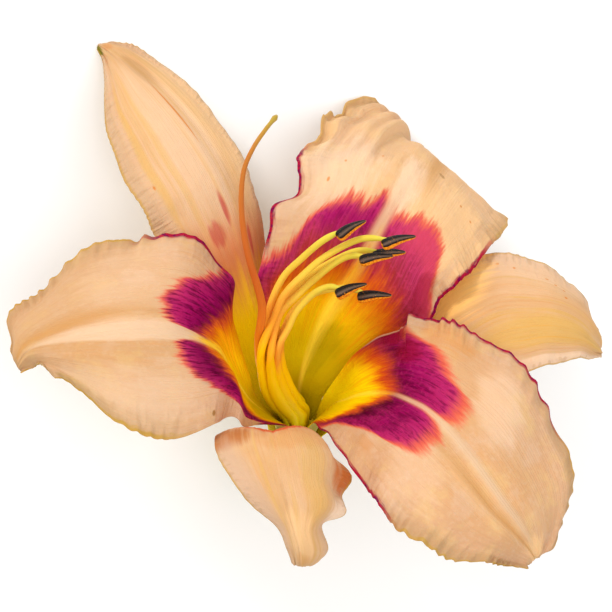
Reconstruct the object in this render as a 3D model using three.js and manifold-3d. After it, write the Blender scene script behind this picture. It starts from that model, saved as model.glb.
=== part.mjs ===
// A daylily bloom, picked with a short stub of its stalk and laid on its back.
// Three broad waved petals and three narrower sepals stand on the mouth of a
// short fleshy tube, round six stamens and one long style.
// Millimetres, +Z up. The bloom is drawn in its face frame (x across the face,
// y up it, z out of it) and then turned to the way it rests on a table.

import * as THREE from 'three';
import { mergeVertices } from 'three/addons/utils/BufferGeometryUtils.js';
import Module from 'manifold-3d';

const wasm = await Module();
wasm.setup();

// Driving dimensions, in millimetres and degrees
const BLADE = 0.7;               // thickness of petals and sepals
const GAP = 0.3;                 // clearance between neighbouring pieces
const SEAT = 0.5;                // foot of each tepal above the rim of the tube
const EYE_DISTANCE = 630;        // where the face is looked at from, before the throat
const FACE_DEPTH = 30;           // plane of the face on which outlines are measured
const THROAT = new THREE.Vector3(-2.9, -32, 0);
const LEAN = new THREE.Vector3(0.222, 0.558, 0.8).normalize();
const PETAL_RING = 5.0;          // radius on which the petals stand
const SEPAL_RING = 6.4;          // radius on which the sepals stand
const TUBE_RIM = 7.3;
const CUP_RADIUS = 4.4;
const CUP_DEPTH = 3.0;
const TUBE_LENGTH = 24;
const STALK_RADIUS = 2.7;
const STALK_LENGTH = 8;
const STAMEN_RING = 2.9;         // radius on which the filaments stand
const FOOT_CLEARANCE = 0.7;      // filament and style feet above the floor of the cup
const FILAMENT_RADIUS = 0.92;
const FILAMENT_TAPER = 0.8;      // radius at the tip, as a share of that at the foot
const ANTHER_RADIUS = 1.1;
const ANTHER_ARCH = 0.5;
const ANTHER_HOLD = 0.27;        // where along the anther its filament ends
const STYLE_RADIUS = 1.15;
const STYLE_RING = 2.2;          // how far off centre the style stands in the cup
const STIGMA_RADIUS = 0.95;
const REST_TRIM = 0.25;          // worn flat at each of the three resting points

// Directions square to the bloom's own axis
const ACROSS = new THREE.Vector3(LEAN.y, -LEAN.x, 0).normalize();
const OVER = new THREE.Vector3().crossVectors(LEAN, ACROSS);

// The way the backs of the anthers look
const BACK = new THREE.Vector3(-0.3, 0.75, 0.55).normalize();

// A point at a radius and compass angle round the bloom's axis, height above the throat
function ring(radius, angle, height) {
  const turn = THREE.MathUtils.degToRad(angle);
  return THROAT.clone()
    .addScaledVector(ACROSS, radius * Math.cos(turn))
    .addScaledVector(OVER, radius * Math.sin(turn))
    .addScaledVector(LEAN, height);
}

// The point seen at (x, y) on the measured face that lies height above the throat
function seen([x, y, height]) {
  const eye = new THREE.Vector3(0, 0, EYE_DISTANCE);
  const ray = new THREE.Vector3(x, y, FACE_DEPTH).sub(eye);
  const from = eye.clone().sub(THROAT);
  return eye.addScaledVector(ray, (height - from.dot(LEAN)) / ray.dot(LEAN));
}

function rail(points) {
  return new THREE.CatmullRomCurve3(points, false, 'catmullrom', 0.5);
}

function smooth(value, low, high) {
  return THREE.MathUtils.smoothstep(value, low, high);
}

// Outlines of the six tepals: left margin, midrib and right margin from base to tip,
// each point as x and y on the face and its height above the throat.
// camber: how far each half bulges forward. waves: crests, depth and start per side.
const TEPALS = {
  petal_left: {
    ring: PETAL_RING, angle: 214, half: 46, rows: 36, columns: 10, colour: 0xf6c795,
    left: [[-4.4, -30.2, 10], [-9.3, -29.6, 20.5], [-12.5, -29.8, 27.5], [-15.8, -30.1, 33],
      [-18.5, -27.5, 35.5], [-23, -29.5, 38.5], [-31.5, -32.8, 41], [-43, -31.8, 42],
      [-53.5, -25, 40], [-62, -18.5, 38], [-66.5, -15.6, 36], [-69.8, -16.4, 33.5], [-71, -16.4, 32]],
    mid: [[-8.2, -28.6, 11], [-13.6, -24.4, 21.5], [-16, -21.8, 27.5], [-19.6, -16, 32],
      [-22.8, -10.5, 36.5], [-28, -7.5, 42], [-35.3, -5.3, 46.5], [-45.5, -5.5, 47.5],
      [-56.5, -7.3, 44.5], [-65.3, -9.5, 40.5], [-69.6, -11.5, 37.5], [-71.6, -14, 34.5], [-71.9, -15.3, 33]],
    right: [[-10.2, -25.4, 10.5], [-13, -21.4, 20], [-14.3, -17, 26.5], [-17.3, -7.5, 31],
      [-18.5, 1.5, 34.5], [-19.8, 9, 38], [-26.5, 16.2, 43], [-39, 17.6, 43.5],
      [-52, 15, 41], [-65.5, 5, 37.5], [-72.6, -1.5, 34.5], [-74.3, -8.5, 33], [-73, -13.3, 32.3]],
    camber: [3.5, 2], waves: [[6.5, 1.1, 0.1], [7, 1.2, 0.3]],
  },
  petal_upper: {
    ring: PETAL_RING, angle: 96, half: 46, rows: 38, columns: 10, colour: 0xf6c795,
    left: [[-6.5, -20, 12.5], [-8.5, -9.5, 20], [-10.2, -1.5, 26], [-12.2, 5.8, 32],
      [-11, 11.5, 38], [-9, 21.3, 43], [-3.5, 28, 45], [-2, 36, 44.5], [2, 42.5, 42],
      [7, 47.3, 38.5], [14, 51.3, 34.5], [20.5, 46.8, 30], [23.5, 40, 26], [23.8, 34, 22.5]],
    mid: [[-1.5, -18, 13], [1.8, -9.3, 21], [5.5, -1.8, 28], [10, 5, 34],
      [14.3, 11.8, 40], [18.3, 19.5, 45], [22.3, 26.8, 48], [25.3, 32, 47.5], [27.3, 36, 45],
      [28.8, 38.8, 41], [29.5, 39.3, 35.5], [28.7, 37, 29], [27.5, 33.5, 24], [26.7, 31, 20.5]],
    right: [[5.5, -21, 11.5], [13, -15.5, 18], [20, -11.5, 23.5], [26, -8.5, 28.5],
      [30.5, -5, 34], [33.5, 1.5, 38], [37.5, 5, 40.5], [41, 8.5, 41.5], [45, 13.5, 40.5],
      [48.5, 17.5, 37.5], [50, 20.5, 33], [45.5, 22.5, 27.5], [36.5, 25.5, 23], [29.5, 29, 20.5]],
    camber: [2.5, 3], waves: [[7.5, 1.7, 0.15], [7, 1.2, 0.6]],
  },
  petal_right: {
    ring: PETAL_RING, angle: -22, half: 46, rows: 36, columns: 10, colour: 0xf6c795,
    left: [[4, -23.5, 12], [8, -17.5, 18], [11.8, -12.5, 23.5], [17.3, -8.3, 29],
      [22.3, -5.8, 34], [26.5, -3.3, 39.5], [33, -4, 43], [41, -6.5, 45], [50.5, -11.3, 45.5],
      [59.3, -22.5, 43.5], [65.6, -37.3, 40], [66, -50.5, 37], [61.5, -59.3, 35], [58.4, -62.8, 34]],
    mid: [[6, -25.5, 13], [11, -23.5, 20], [15, -22.5, 25.5], [19, -22.3, 30.5],
      [22.8, -22.8, 35], [26.5, -24.3, 39.5], [31, -27, 43.5], [36.3, -32.5, 46.5], [42.3, -40.3, 47.5],
      [48, -48.5, 46], [52.5, -54.6, 43], [55.4, -59, 39.5], [56.8, -61.8, 36.5], [57.2, -63, 34.8]],
    right: [[1.5, -29.3, 11], [3.5, -30.8, 17], [5.5, -31.8, 22], [7.5, -35, 27],
      [10.3, -38.5, 31], [13, -42.8, 35], [16.5, -47.5, 38.5], [21.3, -53.8, 41], [28.8, -59.8, 42],
      [37.3, -63.5, 41], [45.6, -64.4, 39], [52.2, -65.2, 37], [55, -65.2, 35.5], [56, -64.5, 34.5]],
    camber: [2, 3], waves: [[7.5, 1.2, 0.2], [8, 1.2, 0.1]],
  },
  sepal_upper: {
    ring: SEPAL_RING, angle: 150, half: 46, rows: 30, columns: 6, colour: 0xf3c487,
    left: [[-13.5, -22.5, 9], [-17.5, -16, 14.5], [-22, -5.5, 23.5], [-29, 5.8, 33],
      [-35.3, 14, 37.5], [-40, 22, 42], [-46.3, 33.8, 45.5], [-50, 45, 47], [-50.3, 56.3, 47.5],
      [-51, 61.5, 46.8], [-52.2, 64.3, 46]],
    mid: [[-7, -18.5, 9], [-8.8, -11.8, 15], [-12.3, 0, 25], [-16, 14, 37],
      [-19, 23.5, 43.5], [-23.3, 33.5, 49.5], [-30, 44, 53], [-38.5, 54, 53], [-46, 61, 50],
      [-49.8, 64, 48], [-51.9, 65.3, 46.3]],
    right: [[-4.8, -18, 8.5], [-5.8, -10.3, 14], [-8.3, 1.5, 23], [-10.5, 16.5, 33],
      [-12.5, 27.8, 38], [-16.5, 38, 42.5], [-23.5, 48.5, 45.5], [-33.3, 58.3, 47], [-41.8, 64, 47],
      [-47, 65.8, 47], [-50.8, 65.7, 46]],
    camber: [1.5, 1.5], waves: [[9, 0.6, 0.2], [7, 0.4, 0.5]],
  },
  sepal_right: {
    ring: SEPAL_RING, angle: 30, half: 46, rows: 30, columns: 6, colour: 0xf8cf8d,
    left: [[6.5, -21.5, 9], [15.5, -16, 15], [26.5, -3, 25], [35, 9, 32],
      [44.5, 13, 36.5], [53, 12.5, 39.5], [60, 10, 40], [67, 4.8, 37.5], [71.3, -2, 34.5],
      [73, -8, 32], [72.6, -9.3, 29.5]],
    mid: [[9, -27, 9], [16, -23.5, 16], [27, -18.5, 25.5], [38, -12.5, 34],
      [48, -6.5, 39.5], [54.8, -5, 42.5], [61.5, -4.8, 44], [68, -6.5, 43], [72.3, -9.8, 40],
      [73.6, -11.3, 36], [73.1, -10.8, 31]],
    right: [[8.5, -29.5, 9], [14.5, -27.5, 15], [26, -27, 24], [37.5, -24, 31.5],
      [48.5, -18.5, 36.5], [55.5, -16.3, 39], [61.5, -14.6, 40.5], [67.8, -13.4, 40], [71.6, -13.1, 37.5],
      [73.5, -12.7, 34], [73.3, -12, 30.5]],
    camber: [1.5, 1.2], waves: [[8, 0.5, 0.1], [8, 0.4, 0.4]],
  },
  sepal_lower: {
    ring: SEPAL_RING, angle: -92, half: 38, rows: 34, columns: 8, colour: 0xf3bd83,
    left: [[-1, -34, 9], [0.5, -34.5, 16], [2, -34, 25], [3.5, -33.8, 33.5],
      [5.5, -35, 38], [8.8, -37.6, 38.5], [10.8, -41.6, 38], [8.9, -46, 38.5], [9.6, -51.2, 38.5],
      [4.2, -54.8, 39.5], [5.3, -60.8, 36.5], [1.6, -64.3, 32], [-1, -61.8, 27]],
    mid: [[-4.3, -33.8, 9], [-5, -33.6, 17], [-6.3, -33.2, 27], [-7.6, -31.9, 37],
      [-8.2, -31, 44], [-8, -33, 48], [-7.2, -37.5, 49], [-6, -43.5, 48.5], [-4.5, -50, 47],
      [-3, -56.2, 44.5], [-1.6, -61, 41], [-1.3, -64.8, 35.5], [-2.3, -62.5, 27.5]],
    right: [[-7.5, -33, 9], [-11, -31.8, 14.5], [-15.5, -31.8, 19.5], [-19.5, -32, 24.5],
      [-21.8, -32, 30], [-22.8, -34.5, 36.5], [-20.8, -39.5, 39.5], [-17.3, -45.5, 41], [-12.7, -50.5, 41],
      [-7.2, -55.5, 40], [-4.7, -60.8, 37.5], [-3.5, -63.8, 33], [-3.8, -61.5, 28]],
    camber: [4, 2], waves: [[6, 0.5, 0.2], [6, 0.5, 0.6]],
  },
};

// The shape of one tepal: a sheet hung between its three rails, cambered on each
// side of the midrib and waved towards its margins
function tepalSheet(spec) {
  const rails = ['left', 'mid', 'right'].map((name, index) => {
    const foot = ring(spec.ring, spec.angle + spec.half * (1 - index), SEAT);
    return rail([foot, ...spec[name].map(seen)]);
  });
  const [left, mid, right] = rails;
  return (along, across) => {
    const centre = mid.getPoint(along);
    const width = right.getPoint(along).sub(left.getPoint(along));
    const forward = width.cross(mid.getTangent(along)).normalize();
    const side = across < 0 ? 0 : 1;
    const share = Math.abs(across);
    const margin = rails[side * 2].getPoint(along);
    const [crests, depth, start] = spec.waves[side];
    const tip = 1 - smooth(along, 0.65, 1);
    const swell = spec.camber[side] * 4 * share * (1 - share) * smooth(along, 0.1, 0.5) * tip;
    const wave = depth * share ** 2.2 * smooth(along, 0.25, 0.45) * (1 - smooth(along, 0.93, 1))
      * Math.sin(2 * Math.PI * (crests * along + start));
    return centre.lerp(margin, share).addScaledVector(forward, swell + wave);
  };
}

// Closed mesh from a list of corner points and triangles
function solid(points, triangles) {
  const geometry = new THREE.BufferGeometry();
  const flat = points.flatMap((point) => [point.x, point.y, point.z]);
  geometry.setAttribute('position', new THREE.Float32BufferAttribute(flat, 3));
  geometry.setIndex(triangles);
  return geometry;
}

function tepalGeometry(spec) {
  const sheet = tepalSheet(spec);
  const { rows, columns } = spec;
  const step = 1e-3;
  const points = [];
  for (const face of [BLADE / 2, -BLADE / 2]) {
    for (let row = 0; row <= rows; row += 1) {
      for (let column = 0; column <= columns; column += 1) {
        const along = row / rows;
        const across = (2 * column) / columns - 1;
        const a = THREE.MathUtils.clamp(along, step, 1 - step);
        const b = THREE.MathUtils.clamp(across, step - 1, 1 - step);
        const lengthwise = sheet(a + step, b).sub(sheet(a - step, b));
        const crosswise = sheet(a, b + step).sub(sheet(a, b - step));
        const normal = crosswise.cross(lengthwise).normalize();
        points.push(sheet(along, across).addScaledVector(normal, face));
      }
    }
  }
  const wide = columns + 1;
  const back = (rows + 1) * wide;
  const triangles = [];
  for (let row = 0; row < rows; row += 1) {
    for (let column = 0; column < columns; column += 1) {
      const a = row * wide + column;
      const [b, c, d] = [a + 1, a + wide + 1, a + wide];
      triangles.push(a, b, c, a, c, d);
      triangles.push(back + a, back + c, back + b, back + a, back + d, back + c);
    }
  }
  const rim = [];
  for (let column = 0; column < columns; column += 1) rim.push(column);
  for (let row = 0; row < rows; row += 1) rim.push(row * wide + columns);
  for (let column = columns; column > 0; column -= 1) rim.push(rows * wide + column);
  for (let row = rows; row > 0; row -= 1) rim.push(row * wide);
  rim.forEach((corner, index) => {
    const next = rim[(index + 1) % rim.length];
    triangles.push(corner, back + corner, back + next, corner, back + next, next);
  });
  return solid(points, triangles);
}

// A round stem that follows a curve, with a radius for each share of its length
function stemGeometry(curve, steps, sides, radiusAt, flatten = 1) {
  const frames = curve.computeFrenetFrames(steps, false);
  const points = [];
  for (let step = 0; step <= steps; step += 1) {
    const share = step / steps;
    const centre = curve.getPointAt(share);
    for (let side = 0; side < sides; side += 1) {
      const turn = (2 * Math.PI * side) / sides;
      points.push(centre.clone()
        .addScaledVector(frames.normals[step], radiusAt(share) * Math.cos(turn))
        .addScaledVector(frames.binormals[step], radiusAt(share) * flatten * Math.sin(turn)));
    }
  }
  const ends = [points.length, points.length + 1];
  points.push(curve.getPointAt(0), curve.getPointAt(1));
  const triangles = [];
  for (let side = 0; side < sides; side += 1) {
    const next = (side + 1) % sides;
    for (let step = 0; step < steps; step += 1) {
      const [low, high] = [step * sides, (step + 1) * sides];
      triangles.push(low + side, low + next, high + next, low + side, high + next, high + side);
    }
    triangles.push(ends[0], next, side);
    triangles.push(ends[1], steps * sides + side, steps * sides + next);
  }
  return solid(points, triangles);
}

// The lower stretch that the filaments and the style climb side by side, as x and y
// on the face and height: each keeps its own compass angle round this core
const CORE = [[-3.1, -26.4, 8], [-5.7, -23, 15], [-7.7, -19.2, 22], [-8.9, -14.4, 29], [-9.1, -9, 36]];

// Where each filament then goes, and the tail and point of the anther on its end
const STAMENS = [
  {
    angle: 115,
    filament: [[-9.5, -3.3, 39], [-8.5, 1.5, 43.5], [-5.5, 7.5, 48.5], [-1.4, 11.6, 53.5], [4, 16.2, 60]],
    anther: [[7.8, 17, 63], [15, 21.3, 65]],
  },
  {
    angle: 245,
    filament: [[-8, -2.9, 42.8], [-5.5, 2.7, 47.5], [-0.7, 7.8, 51.7], [5, 12.5, 56], [13.5, 16.7, 61.5]],
    anther: [[18.9, 15, 64], [27.5, 17.4, 66]],
  },
  {
    angle: 65,
    filament: [[-7.3, -2, 40], [-3.5, 3.5, 44], [1.5, 8, 48], [7.5, 11.6, 52], [13, 13.8, 55.5]],
    anther: [[16.5, 12.3, 56.5], [25, 13.4, 58.5]],
  },
  {
    angle: 295,
    filament: [[-6.7, -2.4, 42], [-2.7, 2.2, 46.2], [2, 6.5, 49.5], [7, 10.6, 54], [11, 12.5, 57.5]],
    anther: [[13.3, 11, 60], [21.9, 12.5, 62.5]],
  },
  {
    angle: 20,
    filament: [[-5.1, -5, 38.2], [-2.8, -0.7, 41], [1.5, 2.8, 45], [6, 4.2, 48], [11, 4.4, 50]],
    anther: [[12.8, 2, 51.5], [21.5, 2.6, 54.5]],
  },
  {
    angle: 335,
    filament: [[-4.5, -5.6, 40.2], [-2.6, -1.6, 43.5], [0.2, 1.6, 46.5], [3, 3.8, 49.5], [6, 4.8, 52]],
    anther: [[7.4, 2.5, 53.5], [15.3, 5.5, 56.5]],
  },
];

const STYLE_ANGLE = 180;
const STYLE_PATH = [[-11.3, -4.5, 41], [-11, 0, 46.5], [-12.3, 5.5, 53], [-14.3, 12, 60], [-15.7, 19.5, 67],
  [-16.2, 27, 73], [-15.5, 34, 78], [-13.2, 39.5, 81.5], [-10.2, 44, 83.5], [-7.3, 47.6, 84]];

// A path from the floor of the cup, up round the core and on through its own points
function climb(angle, radius, points) {
  const floor = ring(radius, angle, FOOT_CLEARANCE - CUP_DEPTH);
  const offset = ring(STAMEN_RING, angle, 0).sub(THROAT);
  return [floor, ...CORE.map((point) => seen(point).add(offset)), ...points.map(seen)];
}

// An anther lies a little arched, with its back towards BACK
function antherCurve([tail, point]) {
  const ends = [seen(tail), seen(point)];
  const middle = ends[0].clone().lerp(ends[1], 0.5).addScaledVector(BACK, ANTHER_ARCH);
  return rail([ends[0], middle, ends[1]]);
}

// A pod that is split along its length, plump in the middle and narrow at both ends
function antherGeometry({ anther }) {
  const plump = (share) => ANTHER_RADIUS * (0.3 + 0.7 * Math.sqrt(Math.sin(Math.PI * (0.04 + 0.92 * share))));
  return stemGeometry(antherCurve(anther), 8, 6, plump);
}

// A filament ends on the back of its anther, nearer the tail
function filamentGeometry({ angle, filament, anther }) {
  const body = antherCurve(anther);
  const lengthwise = body.getTangent(ANTHER_HOLD);
  const away = BACK.clone().addScaledVector(lengthwise, -BACK.dot(lengthwise)).normalize();
  const reach = ANTHER_RADIUS + GAP + FILAMENT_RADIUS * FILAMENT_TAPER;
  const end = body.getPoint(ANTHER_HOLD).addScaledVector(away, reach);
  const curve = rail([...climb(angle, STAMEN_RING, filament), end]);
  return stemGeometry(curve, 18, 6, (share) => FILAMENT_RADIUS * (1 - (1 - FILAMENT_TAPER) * share));
}

function styleGeometry() {
  const curve = rail(climb(STYLE_ANGLE, STYLE_RING, STYLE_PATH));
  const slim = (share) => STYLE_RADIUS * (1 - 0.5 * share);
  const swollen = (share) => STIGMA_RADIUS * smooth(share, 0.965, 1) * 0.5;
  return stemGeometry(curve, 26, 8, (share) => slim(share) + swollen(share));
}

// A turned shape whose axis is the bloom's own, from radius and height pairs
function turned(profile, sides) {
  const outline = profile.map(([radius, height]) => new THREE.Vector2(radius, height));
  const geometry = new THREE.LatheGeometry(outline, sides);
  const upright = new THREE.Quaternion().setFromUnitVectors(new THREE.Vector3(0, 1, 0), LEAN);
  return geometry.applyQuaternion(upright).translate(THROAT.x, THROAT.y, THROAT.z);
}

function tubeGeometry() {
  const foot = STALK_RADIUS + 1.1;
  return turned([
    [0, -TUBE_LENGTH], [foot, -TUBE_LENGTH], [foot + 0.9, -TUBE_LENGTH + 3],
    [foot + 0.8, -TUBE_LENGTH + 8], [foot + 1.2, -TUBE_LENGTH + 14], [TUBE_RIM - 0.9, -3.5],
    [TUBE_RIM, -0.6], [TUBE_RIM, 0], [CUP_RADIUS, 0], [CUP_RADIUS - 0.2, -CUP_DEPTH], [0, -CUP_DEPTH],
  ], 20);
}

function stalkGeometry() {
  const top = -TUBE_LENGTH - GAP;
  return turned([
    [0, top - STALK_LENGTH], [STALK_RADIUS, top - STALK_LENGTH], [STALK_RADIUS - 0.1, top - 3],
    [STALK_RADIUS + 0.7, top], [0, top],
  ], 16);
}

const COLOURS = {
  filament: 0xf0c24a, anther: 0x2b2320, style: 0xee9a52, perianth_tube: 0xb9bd5a, pedicel: 0x8aa34e,
};

function piece(name, geometry, colour, roughness = 0.6) {
  const material = new THREE.MeshStandardMaterial({ color: colour, roughness, metalness: 0 });
  const mesh = new THREE.Mesh(geometry, material);
  mesh.name = name;
  return mesh;
}

const bloom = new THREE.Group();
for (const [name, spec] of Object.entries(TEPALS)) {
  bloom.add(piece(name, tepalGeometry(spec), spec.colour));
}
bloom.add(piece('perianth_tube', tubeGeometry(), COLOURS.perianth_tube));
bloom.add(piece('pedicel', stalkGeometry(), COLOURS.pedicel));
STAMENS.forEach((stamen, index) => {
  bloom.add(piece(`filament_${index + 1}`, filamentGeometry(stamen), COLOURS.filament));
  bloom.add(piece(`anther_${index + 1}`, antherGeometry(stamen), COLOURS.anther, 0.85));
});
bloom.add(piece('style', styleGeometry(), COLOURS.style));

// The three pieces that the bloom lies on, and the direction of its face frame that
// is square to their three lowest points
const RESTS_ON = ['petal_upper', 'sepal_upper', 'pedicel'];
const LAID_UP = new THREE.Vector3(0.3346, -0.1047, 0.9365).normalize();

// A closed mesh as a solid that can be cut, and back
function toSolid(geometry) {
  const bare = geometry.clone().deleteAttribute('normal').deleteAttribute('uv');
  const merged = mergeVertices(bare, 1e-4);
  return new wasm.Manifold(new wasm.Mesh({
    numProp: 3,
    vertProperties: Float32Array.from(merged.attributes.position.array),
    triVerts: Uint32Array.from(merged.index.array),
  }));
}

function fromSolid(cut) {
  const { vertProperties, triVerts } = cut.getMesh();
  const geometry = new THREE.BufferGeometry();
  geometry.setAttribute('position', new THREE.BufferAttribute(Float32Array.from(vertProperties), 3));
  geometry.setIndex(new THREE.BufferAttribute(Uint32Array.from(triVerts), 1));
  return geometry;
}

const resting = RESTS_ON.map((name) => bloom.getObjectByName(name));
const right = new THREE.Vector3(1, 0, 0).addScaledVector(LAID_UP, -LAID_UP.x).normalize();
const turn = new THREE.Matrix4().makeBasis(right, LAID_UP.clone().cross(right), LAID_UP).invert();
bloom.quaternion.setFromRotationMatrix(turn);

// Each resting tip is worn to a small flat in the plane of the table
bloom.updateMatrixWorld(true);
const laid = new THREE.Box3().setFromObject(bloom, true);
const slab = new THREE.BoxGeometry(400, 400, 20).translate(0, 0, laid.min.z + REST_TRIM - 10);
slab.applyMatrix4(bloom.matrixWorld.clone().invert());
for (const mesh of resting) {
  mesh.geometry = fromSolid(toSolid(mesh.geometry).subtract(toSolid(slab)));
}

// The origin is under the middle of the bloom, on the table
laid.setFromObject(bloom, true);
const middle = laid.getCenter(new THREE.Vector3());
bloom.position.set(-middle.x, -middle.y, -laid.min.z);

const group = new THREE.Group();
group.add(bloom);

export default group;
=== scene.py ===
import math

import bmesh
import bpy
import numpy as np
from mathutils import Matrix, Vector


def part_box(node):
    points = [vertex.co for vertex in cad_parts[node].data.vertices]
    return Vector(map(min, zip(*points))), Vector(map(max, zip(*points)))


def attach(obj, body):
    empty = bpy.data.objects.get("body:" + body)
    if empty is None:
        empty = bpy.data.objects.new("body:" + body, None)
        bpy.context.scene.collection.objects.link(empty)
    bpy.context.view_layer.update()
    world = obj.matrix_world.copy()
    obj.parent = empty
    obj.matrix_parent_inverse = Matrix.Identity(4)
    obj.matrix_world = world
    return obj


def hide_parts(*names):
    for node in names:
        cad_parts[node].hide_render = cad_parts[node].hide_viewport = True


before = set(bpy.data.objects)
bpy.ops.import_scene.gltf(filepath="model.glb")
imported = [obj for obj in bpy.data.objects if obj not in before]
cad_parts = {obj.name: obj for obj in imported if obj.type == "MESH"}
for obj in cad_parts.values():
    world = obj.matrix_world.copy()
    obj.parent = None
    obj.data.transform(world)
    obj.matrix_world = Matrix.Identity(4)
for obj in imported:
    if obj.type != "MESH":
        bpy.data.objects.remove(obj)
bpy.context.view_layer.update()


def unit(vector):
    vector = np.array(vector, float)
    return vector / np.linalg.norm(vector)


# Driving dimensions of the bloom, in millimetres and degrees, in its face frame
# (x across the face, y up it, z out of it), as in the part's source
MM = 0.001
BLADE = 0.7
SEAT = 0.5
EYE_DISTANCE = 630.0
FACE_DEPTH = 30.0
THROAT = np.array((-2.9, -32.0, 0.0))
LEAN = unit((0.222, 0.558, 0.8))
LAID_UP = unit((0.3346, -0.1047, 0.9365))
PETAL_RING = 5.0
SEPAL_RING = 6.4
HALF_SPREAD = 46
TUBE_RIM = 7.3
CUP_RADIUS = 4.4
CUP_DEPTH = 3.0
TUBE_LENGTH = 24.0
TUBE_SIDES = 20
STALK_RADIUS = 2.7
STALK_LENGTH = 8.0
STALK_GAP = 0.3
STAMEN_RING = 2.9
FOOT_CLEARANCE = 0.7
FILAMENT_RADIUS = 0.92
ANTHER_RADIUS = 1.1
ANTHER_ARCH = 0.5
ANTHER_HOLD = 0.27
STYLE_RADIUS = 1.15
STYLE_RING = 2.2
STYLE_ANGLE = 180.0

# Relief of the blades, in millimetres, and how thin a wall is at the least
RIB_RISE, RIB_WIDTH = 0.45, 1.3
TROUGH_AT, TROUGH_WIDTH = 3.4, 1.9
VEIN_RISE, VEIN_COUNT = 0.05, 9
LUMP_RISE = 0.35
PLEAT_LEAN = 0.2
WALL_LEAST = 0.2
TUBE_RIBS = 0.03
STALK_RIBS = 0.02
ANTHER_TIP = 0.05

# How finely the pieces are divided: across or round them, and along them
PETAL_GRID = (96, 330)
SEPAL_GRID = (64, 260)
ANTHER_GRID = (28, 40)
FILAMENT_GRID = (14, 90)
STYLE_GRID = (16, 120)
TUBE_FACETS = 72
STALK_FACETS = 48
ROWS_PER_CORNER = 14
WALL_STEPS = 24
SAME_PLACE = 1e-6
CURVE_STEPS = 400
MARGIN_CROWDING = 1.45

ACROSS = unit((LEAN[1], -LEAN[0], 0.0))
OVER = np.cross(LEAN, ACROSS)
BACK = unit((-0.3, 0.75, 0.55))

# The face frame's directions along the row's x, y and z, as the bloom lies
SIDEWAYS = unit(np.array((1.0, 0.0, 0.0)) - LAID_UP * LAID_UP[0])
TURN = np.array((SIDEWAYS, np.cross(LAID_UP, SIDEWAYS), LAID_UP))


def smooth(value, low, high):
    share = np.clip((value - low) / (high - low), 0.0, 1.0)
    return share * share * (3.0 - 2.0 * share)


def window(value, low, full, fall, gone):
    """0 up to low, 1 from full to fall, and 0 from gone on."""
    return smooth(value, low, full) * (1 - smooth(value, fall, gone))


def wave(turns):
    return np.sin(math.tau * turns)


def ring(radius, angle, height):
    turn = math.radians(angle)
    return THROAT + ACROSS * radius * math.cos(turn) + OVER * radius * math.sin(turn) + LEAN * height


def seen(point):
    """The point seen at x and y on the face's plane that lies height above the throat."""
    x, y, height = point
    eye = np.array((0.0, 0.0, EYE_DISTANCE))
    ray = np.array((x, y, FACE_DEPTH)) - eye
    return eye + ray * ((height - (eye - THROAT) @ LEAN) / (ray @ LEAN))


def along_rail(points, along):
    """Places on a smooth curve through the points, from 0 at its start to 1 at its end."""
    points = np.array(points)
    held = np.vstack((2 * points[0] - points[1], points, 2 * points[-1] - points[-2]))
    place = np.clip(np.asarray(along, float), 0.0, 1.0) * (len(points) - 1)
    step = np.minimum(place.astype(int), len(points) - 2)
    w = (place - step)[..., None]
    before, start, end, after = held[step], held[step + 1], held[step + 2], held[step + 3]
    leave, arrive = (end - before) / 2, (after - start) / 2
    return ((2 * w**3 - 3 * w**2 + 1) * start + (w**3 - 2 * w**2 + w) * leave
            + (3 * w**2 - 2 * w**3) * end + (w**3 - w**2) * arrive)


# The turned outline of the tube, as radius and height along the bloom's axis
TUBE_FOOT = STALK_RADIUS + 1.1
TUBE_OUTLINE = [
    (0, -TUBE_LENGTH), (TUBE_FOOT, -TUBE_LENGTH), (TUBE_FOOT + 0.9, -TUBE_LENGTH + 3),
    (TUBE_FOOT + 0.8, -TUBE_LENGTH + 8), (TUBE_FOOT + 1.2, -TUBE_LENGTH + 14),
    (TUBE_RIM - 0.9, -3.5), (TUBE_RIM, -0.6), (TUBE_RIM, 0), (CUP_RADIUS, 0),
    (CUP_RADIUS - 0.2, -CUP_DEPTH), (0, -CUP_DEPTH),
]
UPRIGHT = np.array(Vector((0, 1, 0)).rotation_difference(Vector(LEAN)).to_matrix())


def tube_box():
    """The box of the tube as the frame has it, before it is moved to its place."""
    corners = []
    for radius, height in TUBE_OUTLINE:
        for side in range(TUBE_SIDES):
            turn = math.tau * side / TUBE_SIDES
            corners.append((radius * math.sin(turn), height, radius * math.cos(turn)))
    laid_corners = (np.array(corners) @ UPRIGHT.T + THROAT) @ TURN.T
    return laid_corners.min(0) * MM, laid_corners.max(0) * MM


def tube_shift():
    """How far the laid bloom is moved, from where the frame's tube is."""
    shifts = [np.array(end) - own for end, own in zip(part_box("perianth_tube"), tube_box())]
    print("tube fit, mm:", np.round((shifts[0] - shifts[1]) / MM, 4))
    return sum(shifts) / 2


SHIFT = tube_shift()


def laid(points):
    """Points of the face frame in millimetres, as places in the row frame in metres."""
    return np.asarray(points, float) @ TURN.T * MM + SHIFT


def uneven(along, count, start):
    """A row of narrow crests, from about -0.45 to 0.9, that differ in width and height."""
    drift = 0.35 * wave(3.1 * along + start) + 0.25 * wave(7.3 * along)
    height = 0.65 + 0.35 * wave(5.3 * along + 2 * start)
    crest = 0.5 + 0.5 * wave(count * along + start + drift)
    return height * (1.35 * crest**1.9 - 0.45)


def stepped(value, points):
    """A soft-stepped line through the points, level at each of them."""
    total = points[0][1]
    for (low, start), (high, end) in zip(points, points[1:]):
        total = total + (end - start) * smooth(value, low, high)
    return total


# Folds at single places: each gives how far the blade moves forwards, and outwards from
# its midrib

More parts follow.
